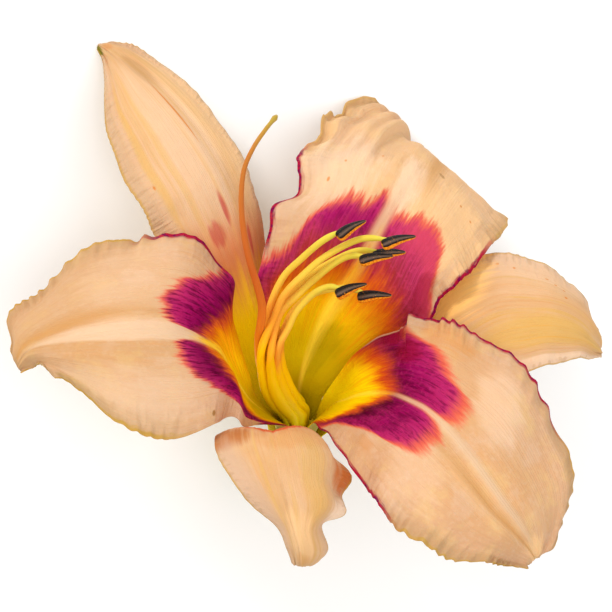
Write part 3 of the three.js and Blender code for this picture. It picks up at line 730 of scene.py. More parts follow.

# The eye of each petal. far and near: the edges of the purple, away from the throat and
# towards it, as the share across the petal and the share along it. rib: where the midrib is
# and its half width. picotee: where the edging starts and ends on each margin. hem: how far
# out it starts. feather and soft: how ragged the eye is, and how softly it fades into the
# throat at the left and the right. tones: the maroon and the orchid in the purple. fringe:
# how wide its coral edge is. eye_trough_shade: maroon painted shade over its right half, low
# in the eye and in a thin band higher up. wash: rose over its right half. olive: in the
# throat. sun: painted light, a sunlit yellow over a throat that lies in shade. cream and gilt:
# on the blade and its margin. tints lie on the blade under the eye and marks over it, each
# with its place across and along, its width and length, its hue and its strength. Tints in
# lit peach and pink are painted light, and those in shaded grey painted shade
EYES = {
    "petal_left": {
        "rib": (-0.05, 0.075), "picotee": ((0.12, 0.2), (0.46, 0.61)), "seed": 3.7, "feather": 0.05,
        "soft": (0.05, 0.05), "tones": (0.65, 0), "olive": 0.3, "gilt": 0.75, "fringe": 0.6, "hem": 0.93,
        "far": [(0, 0.16), (0.07, 0.27), (0.105, 0.38), (0.17, 0.46), (0.22, 0.495), (0.28, 0.52),
                (0.37, 0.53), (0.43, 0.52), (0.47, 0.46), (0.5, 0.44), (0.52, 0.515), (0.56, 0.545),
                (0.62, 0.565), (0.7, 0.553), (0.75, 0.543), (0.79, 0.52), (0.84, 0.5), (0.9, 0.485),
                (1, 0.47)],
        "near": [(0, 0.09), (0.06, 0.15), (0.13, 0.24), (0.2, 0.34), (0.26, 0.39), (0.33, 0.42),
                 (0.42, 0.44), (0.5, 0.44), (0.56, 0.43), (0.64, 0.42), (0.75, 0.4), (0.85, 0.39),
                 (1, 0.38)],
        "marks": [(0, 0.985, 0.5, 0.02, BROWN, 0.5), (-0.38, 0.47, 0.22, 0.045, MAROON, 0.35),
                  (0.72, 0.45, 0.3, 0.04, MAROON, 0.25), (-0.89, 0.474, 0.03, 0.005, BROWN, 0.9),
                  (-0.88, 0.72, 0.14, 0.04, GOLD, 0.5), (0.3, 0.97, 0.8, 0.05, BEIGE, 0.7),
                  (-0.75, 0.62, 0.3, 0.13, CREAM, 0.5)],
        # Tints in lit peach and pink are painted light.
        "tints": [(0.3, 0.88, 1.4, 0.3, PEACH_VEIN, 0.35), (0.1, 0.8, 1.3, 0.35, BEIGE, 0.28),
                  (-0.7, 0.54, 0.4, 0.12, PALE_PINK_AND_PAINTED_LIGHT, 0.15), (0.5, 0.62, 0.42, 0.09, PALE_PINK_AND_PAINTED_LIGHT, 0.22),
                  (-0.02, 0.62, 0.16, 0.16, PALE_PINK_AND_PAINTED_LIGHT, 0.5)],
    },
    "petal_upper": {
        "rib": (0, 0.1), "picotee": ((0.38, 0.6), (0.36, 0.64)), "wash": 0.8, "seed": 11.2,
        "feather": 0.065, "soft": (0.11, 0.13), "tones": (0.4, 0.4), "cream": 0.25, "olive": 0.38,
        "gilt": 0.35, "fringe": 1, "hem": 0.945,
        "far": [(0, 0.35), (0.06, 0.365), (0.12, 0.39), (0.16, 0.43), (0.2, 0.465), (0.28, 0.49),
                (0.34, 0.48), (0.39, 0.48), (0.44, 0.505), (0.5, 0.48), (0.56, 0.475), (0.63, 0.5),
                (0.7, 0.518), (0.76, 0.524), (0.82, 0.512), (0.88, 0.475), (0.93, 0.42), (1, 0.37)],
        "near": [(0, 0.2), (0.08, 0.26), (0.16, 0.32), (0.25, 0.35), (0.36, 0.345), (0.45, 0.34),
                 (0.55, 0.33), (0.64, 0.33), (0.74, 0.32), (0.84, 0.29), (0.92, 0.26), (1, 0.22)],
        # Tints in lit peach and pink are painted light.
        "tints": [(0.55, 0.57, 0.6, 0.13, LIT_PEACH, 0.65), (-0.95, 0.69, 0.12, 0.14, LIT_PEACH, 0.7),
                  (-0.3, 0.55, 0.5, 0.07, LIT_PEACH, 0.5), (0, 0.72, 1.3, 0.1, LIT_PEACH, 0.35),
                  (-0.62, 0.56, 0.4, 0.1, PALE_PINK_AND_PAINTED_LIGHT, 0.45), (0.05, 0.57, 0.16, 0.1, PALE_PINK_AND_PAINTED_LIGHT, 0.6)],
        "marks": [(0.2, 0.14, 0.3, 0.07, OLIVE_SHADE, 0.5), (0.78, 0.4, 0.16, 0.06, CRIMSON, 0.5),
                  (-0.4, 0.44, 0.2, 0.04, MAGENTA, 0.5), (0.28, 0.679, 0.04, 0.008, BROWN, 0.6),
                  (0.58, 0.644, 0.013, 0.0035, SPECK, 0.8), (0.73, 0.642, 0.014, 0.003, SPECK, 0.7),
                  (-0.71, 0.526, 0.014, 0.005, SPECK, 0.7), (-0.6, 0.57, 0.012, 0.004, SPECK, 0.6),
                  (-0.3, 0.62, 0.012, 0.004, SPECK, 0.6)],
    },
    "petal_right": {
        "rib": (-0.01, 0.05), "picotee": ((0.4, 0.74), (0.1, 0.55)), "seed": 23.5, "eye_trough_shade": 0.6,
        "feather": 0.045, "soft": (0.09, 0.05), "tones": (0.5, 0.15), "cream": 0.1, "gilt": 0.6,
        "fringe": 1.3, "sun": 0.6, "hem": 0.95,
        "far": [(0, 0.4), (0.06, 0.41), (0.12, 0.435), (0.15, 0.47), (0.18, 0.515), (0.25, 0.54),
                (0.29, 0.552), (0.31, 0.588), (0.38, 0.586), (0.45, 0.565), (0.5, 0.51), (0.54, 0.54),
                (0.64, 0.547), (0.71, 0.532), (0.75, 0.49), (0.765, 0.42), (0.81, 0.326), (0.875, 0.22),
                (1, 0.13)],
        "near": [(0, 0.23), (0.08, 0.26), (0.16, 0.28), (0.26, 0.31), (0.36, 0.315), (0.46, 0.33),
                 (0.54, 0.32), (0.63, 0.28), (0.72, 0.25), (0.8, 0.19), (0.88, 0.14), (1, 0.09)],
        # Tints in lit peach and pink are painted light, and those in shaded grey painted shade.
        "tints": [(-0.55, 0.6, 0.35, 0.08, PEACH_WARM, 0.6), (-0.52, 0.65, 0.3, 0.05, PALE_PINK_AND_PAINTED_LIGHT, 0.4),
                  (0.58, 0.56, 0.35, 0.07, PALE_PINK_AND_PAINTED_LIGHT, 0.25), (0.15, 0.72, 0.3, 0.12, LIT_PEACH, 0.25),
                  (-0.8, 0.53, 0.18, 0.07, SEPAL_ORANGE, 0.55),
                  (0.7, 0.4, 0.1, 0.04, SEPAL_ORANGE, 0.4), (0.05, 0.93, 0.5, 0.09, LIT_PEACH, 0.85),
                  (-0.95, 0.82, 0.16, 0.15, SHADED_GREY, 0.45),
                  (0.95, 0.8, 0.14, 0.2, SHADED_GREY, 0.35)],
        # The two crimson marks are painted shade at the root of the lapped flap.
        "marks": [(-0.9, 0.36, 0.16, 0.06, CRIMSON, 0.7), (-0.6, 0.42, 0.2, 0.06, CRIMSON, 0.6),
                  (-0.985, 0.33, 0.02, 0.08, PEACH, 0.8)],
    },
}


def margin_wrinkles(f, across, along, seed, count):
    """Short wrinkles that run in from the margins of a petal or sepal, both as relief and as the mask of
    their grey painted shade.
    """
    noise = f.lines(across, along, 5, count, seed + 12, 1, 0.4)
    return f.times(noise, f.rise(f.sway(f.off(across), (noise, 0.3)), 0.7, 0.98))


def blade_relief(f, across, along, seed, crinkle=0.0):
    """Fine lengthwise veins, soft swellings and a grain on a petal or sepal."""
    veins = f.lines(across, along, 70, 2.5, seed, 3, 0.55)
    ripple = f.lines(across, along, 9, 26, seed + 4, 2, 0.5)
    grain, swellings = f.noise(f.place(), 2600, 1), f.noise(f.place(), 190)
    f.relief(f.add(f.times(veins, 0.7), f.times(ripple, 0.5), f.times(grain, 0.18),
                   f.times(swellings, 1.6), f.times(crinkle, 1.4)), 0.0004, 0.7)


def with_marks(f, colour, across, along, streak, marks):
    """The colour with a ragged oval mark of its own at each place of the list."""
    for c, a, width, length, hue, strength in marks:
        wide = f.math("POWER", f.times(f.minus(across, c), 1 / width), 2.0)
        long = f.math("POWER", f.times(f.minus(along, a), 1 / length), 2.0)
        colour = f.coated(colour, (hue, strength, f.sway(f.add(wide, long), (streak, 2.5)), 1.3, 0.2))
    return colour


def petal_face(name, eye):
    f = Finish(name + "_face", glow=0.15)
    seed = eye["seed"]
    u, across, along = f.blade_shares()
    share = f.off(across)
    streak = f.lines(across, along, 13, 9, seed, 4, 0.6)
    fine = f.lines(across, along, 55, 30, seed + 7, 3, 0.6)
    cloud = f.lines(across, along, 2.2, 4.5, seed + 2, 3, 0.5)
    veins = f.lines(across, along, 32, 2.2, seed + 9, 2, 0.5)
    mottle, patches = f.noise(f.place(), 800, 3, 0.6), f.noise(f.place(), 130, 4, 0.6)

    # Peach blade, warmer beside the midrib and pinker at the sides, with fine veins
    blade = f.coated(
        PEACH, (PEACH_WARM, 1, cloud, 0.38, 0.62), (PEACH_PINK, 0.7, share, 0.3, 0.95),
        (f.mix(0.5, PEACH, PEACH_VEIN), f.rise(along, 1.1, 0.4), veins, 0.47, 0.62),
        (CREAM, 0.25, mottle, 0.5, 0.66), (BEIGE, 0.12, fine, 0.55, 0.7),
        (PATCH_GOLD, 0.45, patches, 0.5, 0.66), (PATCH_PINK, 0.4, patches, 0.48, 0.34))
    blade = f.mix(eye.get("cream", 0), blade, CREAM)
    blade = with_marks(f, blade, across, along, streak, eye["tints"])
    rib_at, rib_width = eye["rib"]
    rib_end = TEPALS[name]["rib"][1]
    off_rib = f.off(across, rib_at)
    rib = f.rise(off_rib, rib_width * 1.7, rib_width * 0.2)
    # Painted shade: darker gold in the trough beside the midrib, towards the tip.
    rib_trough_shade = f.times(f.rise(along, 0.5, 0.68), 0.7)
    blade = f.coated(blade, (SHADED_GOLD, rib_trough_shade, f.off(across, rib_at + 0.2), 0.14, 0.0),
                     (CREAM, f.times(rib, 0.8), along, rib_end + 0.18, rib_end - 0.1))

    # Throat: olive at its foot, then yellow and orange up to the eye
    far, near = f.curve(u, eye["far"]), f.curve(u, eye["near"])
    near = f.sway(near, (streak, 0.1), (fine, 0.05))
    depth = f.math("DIVIDE", along, near)
    throat = f.mix(eye.get("olive", 0), f.ramp(depth, THROAT_RAMP), f.ramp(depth, THROAT_SHADE_RAMP))
    # Painted light: the sun share lays a sunlit yellow over a throat that lies in shade.
    throat = f.coated(throat, (SUNLIT_YELLOW, eye.get("sun", 0), depth, 0.95, 0.7),
                      (ORANGE, f.times(f.rise(depth, 0.3, 0.8), 0.5), veins, 0.48, 0.62))
    throat = f.mix(f.times(rib, 0.7), throat, PALE_YELLOW)
    throat = f.coated(throat, (ORANGE, f.rise(depth, 0.6, 0.95), fine, 0.52, 0.72))

    # Eye: a coral edge that feathers along the veins, then magenta and dark purple
    feather, fringe, (soft_left, soft_right) = eye["feather"], eye["fringe"], eye["soft"]
    soft = f.add(f.times(f.rise(across, -0.05, 0.05), soft_right - soft_left), soft_left)
    far = f.sway(far, (streak, feather), (fine, feather * 0.7))
    past_far, past_near = f.minus(along, far), f.minus(along, near)
    stripe = f.times(f.rise(off_rib, rib_width * 1.2, rib_width * 0.2), f.rise(along, 0.25, 0.42))
    halo = f.times(f.rise(past_far, 0.022 * fringe, -0.005),
                   f.rise(past_near, f.times(soft, -1), f.times(soft, 0.4)),
                   f.minus(0.9, f.times(stripe, 0.75)))
    core = f.times(f.rise(past_far, 0.006, -0.026 * fringe), f.rise(past_near, -0.01, soft),
                   f.minus(1, f.times(stripe, 0.95)))
    height = f.math("DIVIDE", past_near, f.math("MAXIMUM", f.minus(far, near), 0.03))
    # Painted shade: maroon low in the eye over the right half, where the trough lies below the ridge, and a
    # fainter band higher up.
    broken = f.sway(height, (streak, 0.5))
    eye_trough_shade = f.add(f.rise(broken, 0.42, 0.12), f.times(f.rise(f.off(broken, 0.66), 0.1, 0.03), 0.5))
    dark, pale = eye["tones"]
    purple = f.coated(
        f.ramp(f.sway(height, (streak, 0.7)), PURPLE_RAMP), (MAROON, dark, fine, 0.47, 0.62),
        (ORCHID, pale, veins, 0.47, 0.6), (ORCHID_DEEP, 0.15 + pale, mottle, 0.5, 0.66),
        (MAROON, f.times(eye_trough_shade, eye.get("eye_trough_shade", 0)), across, 0.03, 0.14),
        (ROSE, f.times(f.rise(height, 0.25, 0.8), eye.get("wash", 0)), across, 0.05, 0.4))
    colour = f.mix(f.rise(past_near, -0.02, soft), throat, blade)
    colour = f.mix(core, f.mix(halo, colour, f.ramp(height, FRINGE_RAMP)), purple)
    colour = with_marks(f, colour, across, along, streak, eye["marks"])

    # Edging: red beside the eye, gold and beige beyond it, and grey painted shade in the margin's wrinkles
    on_left = f.rise(across, 0.0, -0.01)
    low, high = (f.add(f.times(on_left, left - right), right) for left, right in zip(*eye["picotee"]))
    beside = f.times(f.rise(f.minus(along, low), -0.02, 0.02), f.rise(f.minus(along, high), 0.05, -0.02))
    beyond = f.times(f.rise(along, 0.45, 0.6), f.minus(1, f.times(beside, 0.8)))
    ragged = f.sway(share, (streak, 0.06), (fine, 0.07))
    crinkle = margin_wrinkles(f, across, along, seed, 80)
    colour = f.coated(
        colour, (BEIGE, f.times(beyond, 0.6), f.sway(share, (streak, 0.3)), 0.74, 0.98),
        (SHADED_GREY, f.times(beyond, 0.35), crinkle, 0.38, 0.75),
        (GOLD, f.times(beyond, eye["gilt"]), ragged, 0.96, 0.985),
        (f.mix(f.rise(mottle, 0.45, 0.6), EDGING_RED, EDGING_PURPLE), beside, ragged, eye["hem"],
         eye["hem"] + 0.035))
    blade_relief(f, across, along, seed, crinkle)
    return f.colour(colour)


def petal_back(name, eye):
    f = Finish(name + "_back", roughness=0.55, glow=0.18)
    u, across, along = f.blade_shares()
    streak = f.lines(across, along, 22, 1.6, eye["seed"], 4, 0.65)
    far, near = f.curve(u, eye["far"]), f.curve(u, eye["near"])
    shade = f.times(f.rise(f.minus(along, near), -0.02, 0.06), 0.55)
    colour = f.coated(
        f.ramp(along, PETAL_BACK_RAMP),
        (rgb(206, 104, 112), shade, f.minus(along, f.sway(far, (streak, 0.15))), 0.03, -0.05),
        (rgb(214, 196, 112), 0.6, f.off(across), 0.09, 0.02), (rgb(228, 168, 104), 0.25, streak, 0.5, 0.7))
    blade_relief(f, across, along, eye["seed"])
    return f.colour(colour)


# The looks of each sepal. edge and blush: where along it the yellow foot and the blush
# beyond that end. gold: how strong its yellow streaks are. wrinkles: their count. The marks
# are as a petal's; those in lit peach are painted light, and those in the pale pink partly
# painted light and partly the paler pink of a margin
SEPALS = {
    "sepal_upper": {
        "seed": 31.0, "blush": 0.46, "edge": 0.33, "gold": 0.3, "wrinkles": 170.0,
        "marks": [(0.65, 0.62, 0.35, 0.2, LIT_PEACH, 0.6), (-0.15, 0.62, 0.5, 0.2, PALE_PINK_AND_PAINTED_LIGHT, 0.3),
                  (-0.96, 0.65, 0.14, 0.3, BEIGE, 0.3), (-0.3, 0.425, 0.13, 0.035, RED, 0.6),
                  (-0.06, 0.47, 0.045, 0.05, RED, 0.75), (0.33, 0.38, 0.06, 0.04, RED, 0.7),
                  # The brown mark near the tip, 0.14 across, is painted shade.
                  (0.06, 0.68, 0.025, 0.07, SPECK, 0.8), (0.14, 0.78, 0.18, 0.06, BROWN, 0.3),
                  (-0.7, 0.62, 0.07, 0.16, SEPAL_YELLOW, 0.55),
                  (-0.45, 0.62, 0.06, 0.2, SEPAL_YELLOW, 0.4), (-0.76, 0.58, 0.02, 0.005, SPECK, 0.8),
                  (-0.7, 0.97, 0.5, 0.06, TIP_GREEN, 1), (0.1, 0.93, 0.4, 0.04, SPECK, 0.35)],
    },
    "sepal_right": {
        "seed": 43.0, "blush": 0.34, "edge": 0.28, "gold": 0.6, "wrinkles": 60.0,
        "marks": [(-0.85, 0.55, 0.25, 0.25, PALE_PINK_AND_PAINTED_LIGHT, 0.25), (0.95, 0.6, 0.25, 0.3, PALE_PINK_AND_PAINTED_LIGHT, 0.6),
                  (-0.77, 0.53, 0.016, 0.005, SPECK, 0.7), (-0.83, 0.485, 0.016, 0.005, SPECK, 0.6),
                  (-0.71, 0.63, 0.012, 0.006, SPECK, 0.7), (-0.63, 0.68, 0.018, 0.005, SPECK, 0.8),
                  (-0.47, 0.68, 0.018, 0.005, SPECK, 0.8), (-0.66, 0.655, 0.012, 0.005, SPECK, 0.8),
                  (0.36, 0.61, 0.02, 0.13, ORANGE, 0.5), (0.05, 0.57, 0.018, 0.15, ORANGE, 0.4),
                  (0.2, 0.6, 0.4, 0.3, SEPAL_YELLOW, 0.75),
                  # The last mark is painted light, where the upper petal casts its shadow.
                  (-0.95, 0.36, 0.65, 0.12, SEPAL_PAINTED_LIGHT, 1)],
    },
    "sepal_lower": {
        "seed": 57.0, "blush": 0.42, "edge": 0.34, "gold": 0.5, "wrinkles": 60.0,
        # Painted shade on the rolled flap's upper part, and painted light on its lower part.
        "marks": [(-0.94, 0.55, 0.22, 0.09, FLAP_PAINTED_SHADE, 0.95), (-0.9, 0.7, 0.22, 0.055, PALE_PINK_AND_PAINTED_LIGHT, 1),
                  # The second mark is a painted cast shadow of the left petal on this sepal's corner.
                  (-0.05, 0.4, 0.6, 0.022, EDGE_RED, 0.8), (1, 0.455, 0.66, 0.05, PAINTED_CAST_SHADOW, 0.9),
                  (-0.2, 0.47, 0.7, 0.05, SEPAL_ORANGE, 0.4),
                  (-0.45, 0.62, 0.2, 0.16, SEPAL_YELLOW, 0.5), (-0.05, 0.8, 0.5, 0.1, LIT_PEACH, 0.7),
                  (0, 0.88, 0.4, 0.03, SEPAL_ORANGE, 0.3), (0.85, 0.65, 0.3, 0.2, SEPAL_PINK, 0.7)],
    },
}


def sepal_face(name, look):
    f = Finish(name + "_face", glow=0.15)
    seed, blush, edge = look["seed"], look["blush"], look["edge"]
    across, along = f.blade_shares()[1:]
    share = f.off(across)
    streak = f.lines(across, along, 9, 2, seed, 4, 0.6)
    fine = f.lines(across, along, 42, 9, seed + 7, 3, 0.6)
    veins = f.lines(across, along, 24, 1.6, seed + 9, 2, 0.5)
    cloud = f.lines(across, along, 2, 4.5, seed + 2, 3, 0.5)
    uneven_along = f.sway(along, (streak, 0.12))
    colour = f.coated(
        SEPAL_PEACH, (SEPAL_WARM, 1, cloud, 0.38, 0.62), (SEPAL_YELLOW, look["gold"], streak, 0.5, 0.66),
        (SEPAL_ORANGE, 0.22, veins, 0.52, 0.66), (BEIGE, 0.2, fine, 0.55, 0.7),
        (SEPAL_PINK, 0.8, f.sway(share, (streak, 0.5), (cloud, 0.4)), 0.55, 1.0),
        (BLUSH, 0.8, uneven_along, blush + 0.05, edge),
        (f.ramp(along, SEPAL_FOOT_RAMP), 1, uneven_along, edge + 0.04, edge - 0.08))
    colour = with_marks(f, colour, across, along, streak, look["marks"])
    crinkle = margin_wrinkles(f, across, along, seed, look["wrinkles"])
    # Gold edging, and grey painted shade in the margin's wrinkles.
    colour = f.coated(colour, (GOLD, f.times(f.rise(along, 0.45, 0.55), 0.6), share, 0.96, 0.985),
                      (SHADED_GREY, 0.3, crinkle, 0.48, 0.62))
    blade_relief(f, across, along, seed, crinkle)
    return f.colour(colour)


def sepal_back(name, look):
    f = Finish(name + "_back", roughness=0.55, glow=0.18)
    across, along = f.blade_shares()[1:]
    streak = f.lines(across, along, 14, 1.4, look["seed"], 4, 0.65)
    colour = f.coated(f.ramp(along, SEPAL_BACK_RAMP), (rgb(200, 188, 96), 0.7, f.off(across), 0.22, 0.02),
                      (rgb(220, 176, 96), 0.4, streak, 0.48, 0.7))
    blade_relief(f, across, along, look["seed"])
    return f.colour(colour)


# Stamens and style: the core that they climb, and for each stamen its angle on the ring,
# the points of its filament above the core, and the two ends of its anther
CORE = [(-3.1, -26.4, 8), (-5.7, -23, 15), (-7.7, -19.2, 22), (-8.9, -14.4, 29), (-9.1, -9, 36)]
STAMENS = [
    (115, [(-9.5, -3.3, 39), (-8.5, 1.5, 43.5), (-5.5, 7.5, 48.5), (-1.4, 11.6, 53.5), (4, 16.2, 60)],
     ((7.8, 17, 63), (15, 21.3, 65))),
    (245, [(-8, -2.9, 42.8), (-5.5, 2.7, 47.5), (-0.7, 7.8, 51.7), (5, 12.5, 56), (13.5, 16.7, 61.5)],
     ((18.9, 15, 64), (27.5, 17.4, 66))),
    (65, [(-7.3, -2, 40), (-3.5, 3.5, 44), (1.5, 8, 48), (7.5, 11.6, 52), (13, 13.8, 55.5)],
     ((16.5, 12.3, 56.5), (25, 13.4, 58.5))),
    (295, [(-6.7, -2.4, 42), (-2.7, 2.2, 46.2), (2, 6.5, 49.5), (7, 10.6, 54), (11, 12.5, 57.5)],
     ((13.3, 11, 60), (21.9, 12.5, 62.5))),
    (20, [(-5.1, -5, 38.2), (-2.8, -0.7, 41), (1.5, 2.8, 45), (6, 4.2, 48), (11, 4.4, 50)],
     ((12.8, 2, 51.5), (21.5, 2.6, 54.5))),
    (335, [(-4.5, -5.6, 40.2), (-2.6, -1.6, 43.5), (0.2, 1.6, 46.5), (3, 3.8, 49.5), (6, 4.8, 52)],
     ((7.4, 2.5, 53.5), (15.3, 5.5, 56.5))),
]
STYLE_PATH = [(-11.3, -4.5, 41), (-11, 0, 46.5), (-12.3, 5.5, 53), (-14.3, 12, 60), (-15.7, 19.5, 67),
              (-16.2, 27, 73), (-15.5, 34, 78), (-13.2, 39.5, 81.5), (-10.2, 44, 83.5),
              (-7.3, 47.6, 84)]


def climb(angle, radius, points):
    """A path from the floor of the cup, up round the core and on through its own points."""
    floor = ring(radius, angle, FOOT_CLEARANCE - CUP_DEPTH)
    offset = ring(STAMEN_RING, angle, 0) - THROAT
    return [floor] + [seen(point) + offset for point in CORE] + [seen(point) for point in points]


def evenly(points, count):
    """Places an even way apart on the curve through the points."""
    shares = np.linspace(0, 1, CURVE_STEPS)
    places = along_rail(points, shares)
    run = np.concatenate(([0], np.cumsum(np.linalg.norm(np.diff(places, axis=0), axis=1))))
    return along_rail(points, np.interp(np.linspace(0, run[-1], count), run, shares))


def closed_piece(name, grid, places, material, node):
    """A closed piece from a grid laid round an axis: its seam is joined and its ends filled."""
    set_corners(grid, laid(places))
    bmesh.ops.remove_doubles(grid, verts=grid.verts, dist=SAME_PLACE)
    ends = [edge for edge in grid.edges if edge.is_boundary]
    bmesh.ops.holes_fill(grid, edges=ends, sides=0)
    bmesh.ops.recalc_face_normals(grid, faces=grid.faces)
    return finished(name, grid, [material], node)


def stem(name, points, divisions, section, material, node):
    """A closed stem along a path. section gives, for shares round and along, the two
    distances from the path: across its back and sideways."""
    sides, rows = divisions
    path = evenly(points, rows + 1)
    grid, around, along = unit_grid(sides, rows)
    heading = np.gradient(path, axis=0)
    heading /= np.linalg.norm(heading, axis=1)[:, None]
    back = BACK - heading * (heading @ BACK)[:, None]
    back /= np.linalg.norm(back, axis=1)[:, None]
    beside = np.cross(heading, back)
    row = np.round(along * rows).astype(int)
    rise, aside = section(around, along)
    places = path[row] + back[row] * rise[:, None] + beside[row] * aside[:, None]
    return closed_piece(name, grid, places, material, node)


def filament_section(around, along):
    """Broad and flat low down, where the filaments lie side by side, and round above."""
    turn = math.tau * around
    broad = window(along, 0.08, 0.2, 0.35, 0.6)
    radius = FILAMENT_RADIUS * (1.08 - 0.2 * along) * (1 - 0.5 * smooth(along, 0.94, 1.0))
    return radius * (1 + 0.2 * broad) * np.cos(turn), radius * (1 + 0.95 * broad) * np.sin(turn)


def anther_rail(ends):
    tail, point = (seen(end) for end in ends)
    return [tail, (tail + point) / 2 + BACK * ANTHER_ARCH, point]


def anther_section(around, along):
    """Two plump halves with a groove between them below, blunt at the tail."""
    turn = math.tau * around
    below = np.abs(turn - math.pi)
    closed = np.sqrt(np.clip(1 - np.abs(2 * along - 1) ** (9 - 5 * smooth(along, 0.3, 0.8)), 0, 1))
    radius = ANTHER_RADIUS * closed * (1.5 - 0.85 * smooth(along, 0.1, 1.0)) + ANTHER_TIP
    groove = 0.22 * np.exp(-(below / 0.35) ** 2)
    seam = 0.14 * np.exp(-(np.abs(below - 1.6) / 0.14) ** 2)
    lump = 0.04 * np.sin(61 * along + 5 * turn) * (0.5 - 0.5 * np.cos(turn))
    shape = radius * (1 - groove - seam + lump)
    return shape * np.cos(turn) * 0.85, shape * np.sin(turn) * 1.05


def style_section(around, along):
    """Round and tapered, with the small knob of the stigma at its tip."""
    turn = math.tau * around
    radius = STYLE_RADIUS * (1 - 0.55 * smooth(along, 0.3, 1)) + 0.22 * smooth(along, 0.975, 0.99)
    radius = radius - 0.4 * smooth(along, 0.993, 1.0)
    return radius * np.cos(turn), radius * np.sin(turn)


def stem_finish(name, roughness, sheen, grain, seed, swing, stops):
    """Colours that run along a filament or the style, with a few long streaks."""
    f = Finish(name, roughness, glow=0.2, sheen=sheen)
    around, along = f.map_shares()
    streak = f.lines(around, along, 5, grain, seed, 3, 0.5)
    f.relief(streak, 0.0002, 0.5)
    return f.colour(f.ramp(f.sway(along, (streak, swing)), stops))


def anther_finish():
    """A dark glossy back with a painted highlight, a lighter grey-brown strip along it, and orange pollen
    below and at both ends.
    """
    f = Finish("anther_skin", sheen=0.15)
    around, along = f.map_shares()
    dust, patch = f.noise(f.place(), 2600, 2, 0.7), f.noise(f.place(), 700, 2, 0.6)
    turned = f.sway(around, (patch, 0.07))
    low = f.times(f.rise(turned, 0.222, 0.238), f.rise(turned, 0.905, 0.89))
    ends = f.rise(f.off(f.sway(along, (patch, 0.08)), 0.5), 0.475, 0.49)
    low = f.math("MAXIMUM", low, f.times(ends, 0.9))
    pollen = f.mix(f.rise(dust, 0.35, 0.6), POLLEN, POLLEN_LIT)
    colour = f.mix(low, f.ramp(around, ANTHER_RAMP), pollen)
    f.relief(f.add(f.times(dust, 0.8), patch), 0.0003, 0.9)
    return f.colour(f.coated(colour, (POLLEN_DUST, 0.8, dust, 0.66, 0.72)))


def green_finish(name, stops, seed):
    f = Finish(name, roughness=0.42, glow=0.12)
    around, along = f.map_shares()
    lines = f.lines(around, along, 46, 2, seed, 3, 0.6)
    cloud = f.noise(f.place(), 160, 3)
    f.relief(f.add(lines, cloud), 0.0003, 0.6)
    colour = f.ramp(f.sway(along, (cloud, 0.25)), stops)
    return f.colour(f.coated(colour, (STALK_GREEN, 0.35, lines, 0.48, 0.7)))


def turned_piece(name, outline, sides, ribs, material, node):
    """A turned piece on the bloom's own axis, with shallow ribs down its sides."""
    rows = ROWS_PER_CORNER * (len(outline) - 1)
    corners = np.array(outline, float)
    spots, run = np.linspace(0, 1, rows + 1), np.linspace(0, 1, len(outline))
    profile = np.stack([np.interp(spots, run, values) for values in corners.T])
    soft = np.array((1.0, 2.0, 3.0, 2.0, 1.0)) / 9
    profile[:, 2:-2] = [np.convolve(values, soft, "valid") for values in profile]
    grid, around, along = unit_grid(sides, rows)
    radius, height = profile[:, np.round(along * rows).astype(int)]
    turn = math.tau * around
    reach = radius * (1 + ribs * np.cos(6 * turn) * smooth(radius, 1.0, 3.0))
    places = (THROAT + ACROSS * (reach * np.cos(turn))[:, None] + OVER * (reach * np.sin(turn))[:, None]
              + LEAN * height[:, None])
    return closed_piece(name, grid, places, material, node)


# Camera: the face is looked at straight on, from EYE_DISTANCE before the throat's plane

PICTURE_SIDE = 612.0
PIXELS_PER_SLOPE = 2400.0

camera = bpy.data.cameras.new("camera")
camera.sensor_width = 36.0
camera.lens = camera.sensor_width * PIXELS_PER_SLOPE / PICTURE_SIDE
camera.clip_start = 0.01
viewer = in_scene("camera", camera)
viewer.matrix_world = Matrix.Translation(laid((0, 0, EYE_DISTANCE))) @ Matrix(TURN).to_4x4()
bpy.context.scene.camera = viewer

# Petals and sepals

for name, eye in EYES.items():
    tepal_piece(name, PETAL_GRID, [petal_face(name, eye), petal_back(name, eye)])
for name, look in SEPALS.items():
    tepal_piece(name, SEPAL_GRID, [sepal_face(name, look), sepal_back(name, look)])

# Stamens: each filament ends on the back of its anther

filament_skin = stem_finish("filament_skin", 0.5, 0.08, 9, 2.0, 0.12, FILAMENT_RAMP)
anther_skin = anther_finish()
for index, (angle, points, ends) in enumerate(STAMENS, 1):
    rail = anther_rail(ends)
    stem(f"anther_{index}_pod", rail, ANTHER_GRID, anther_section, anther_skin, f"anther_{index}")
    before, hold, after = along_rail(rail, ANTHER_HOLD + np.array([-0.01, 0, 0.01]))
    lengthwise = unit(after - before)
    away = unit(BACK - lengthwise * (BACK @ lengthwise))
    path = climb(angle, STAMEN_RING, points) + [hold + away * ANTHER_RADIUS * 0.8]
    stem(f"filament_{index}_thread", path, FILAMENT_GRID, filament_section, filament_skin,
         f"filament_{index}")

# Style

style_skin = stem_finish("style_skin", 0.45, 0.12, 12, 6.0, 0.1, STYLE_RAMP)
stem("style_thread", climb(STYLE_ANGLE, STYLE_RING, STYLE_PATH), STYLE_GRID, style_section, style_skin,
     "style")

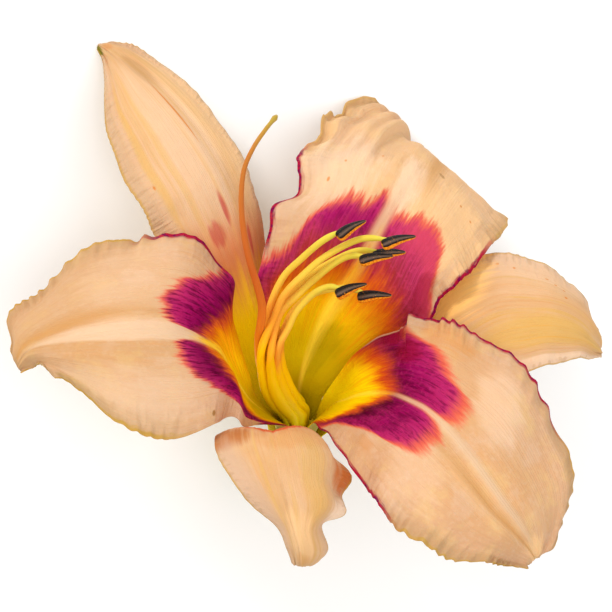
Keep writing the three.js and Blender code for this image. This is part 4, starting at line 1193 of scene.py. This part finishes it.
# Tube and stub of the stalk

turned_piece("tube_wall", TUBE_OUTLINE, TUBE_FACETS, TUBE_RIBS,
             green_finish("tube_skin", TUBE_RAMP, 3.0), "perianth_tube")
STALK_TOP = -TUBE_LENGTH - STALK_GAP
STALK_END = STALK_TOP - STALK_LENGTH
STALK_OUTLINE = [(0, STALK_END), (STALK_RADIUS, STALK_END), (STALK_RADIUS - 0.1, STALK_TOP - 3),
                 (STALK_RADIUS + 0.7, STALK_TOP), (0, STALK_TOP)]
turned_piece("stalk_stub", STALK_OUTLINE, STALK_FACETS, STALK_RIBS,
             green_finish("stalk_skin", STALK_RAMP, 9.0), "pedicel")

# Floor and light

FLOOR_REACH = 3.0
FLOOR_WHITE = rgb(250, 250, 250)
ROOM_LIGHT = 0.8
LIT_POINT = (0, 0, 20)

floor_grid = bmesh.new()
bmesh.ops.create_grid(floor_grid, x_segments=1, y_segments=1, size=FLOOR_REACH)
floor = meshed("floor", floor_grid, [Finish("floor_paint", roughness=0.9).colour(FLOOR_WHITE)])


def lamp(name, direction, distance, size, power, tint=(1, 1, 1)):
    """A square soft light that looks at the bloom from a direction of its face frame."""
    light = bpy.data.lights.new(name, "AREA")
    light.size = size
    light.energy = power
    light.color = tint
    thing = in_scene(name, light)
    thing.location = Vector(laid(unit(direction) * distance / MM))
    aim = Vector(laid(LIT_POINT)) - thing.location
    thing.rotation_euler = aim.to_track_quat("-Z", "Y").to_euler()


lamp("key", (-0.45, 0.6, 0.66), 1.2, 0.3, 6.5, (1.0, 0.98, 0.95))
lamp("fill", (0.7, -0.2, 0.7), 1.4, 1.2, 4.0)
lamp("front", (0.05, -0.1, 1.0), 1.4, 0.7, 4.0)
world = bpy.data.worlds.new("room")
world.use_nodes = True
backdrop = world.node_tree.nodes["Background"]
backdrop.inputs["Color"].default_value = (1.0, 1.0, 1.0, 1.0)
backdrop.inputs["Strength"].default_value = ROOM_LIGHT
bpy.context.scene.world = world
bpy.context.scene.view_settings.view_transform = "Standard"
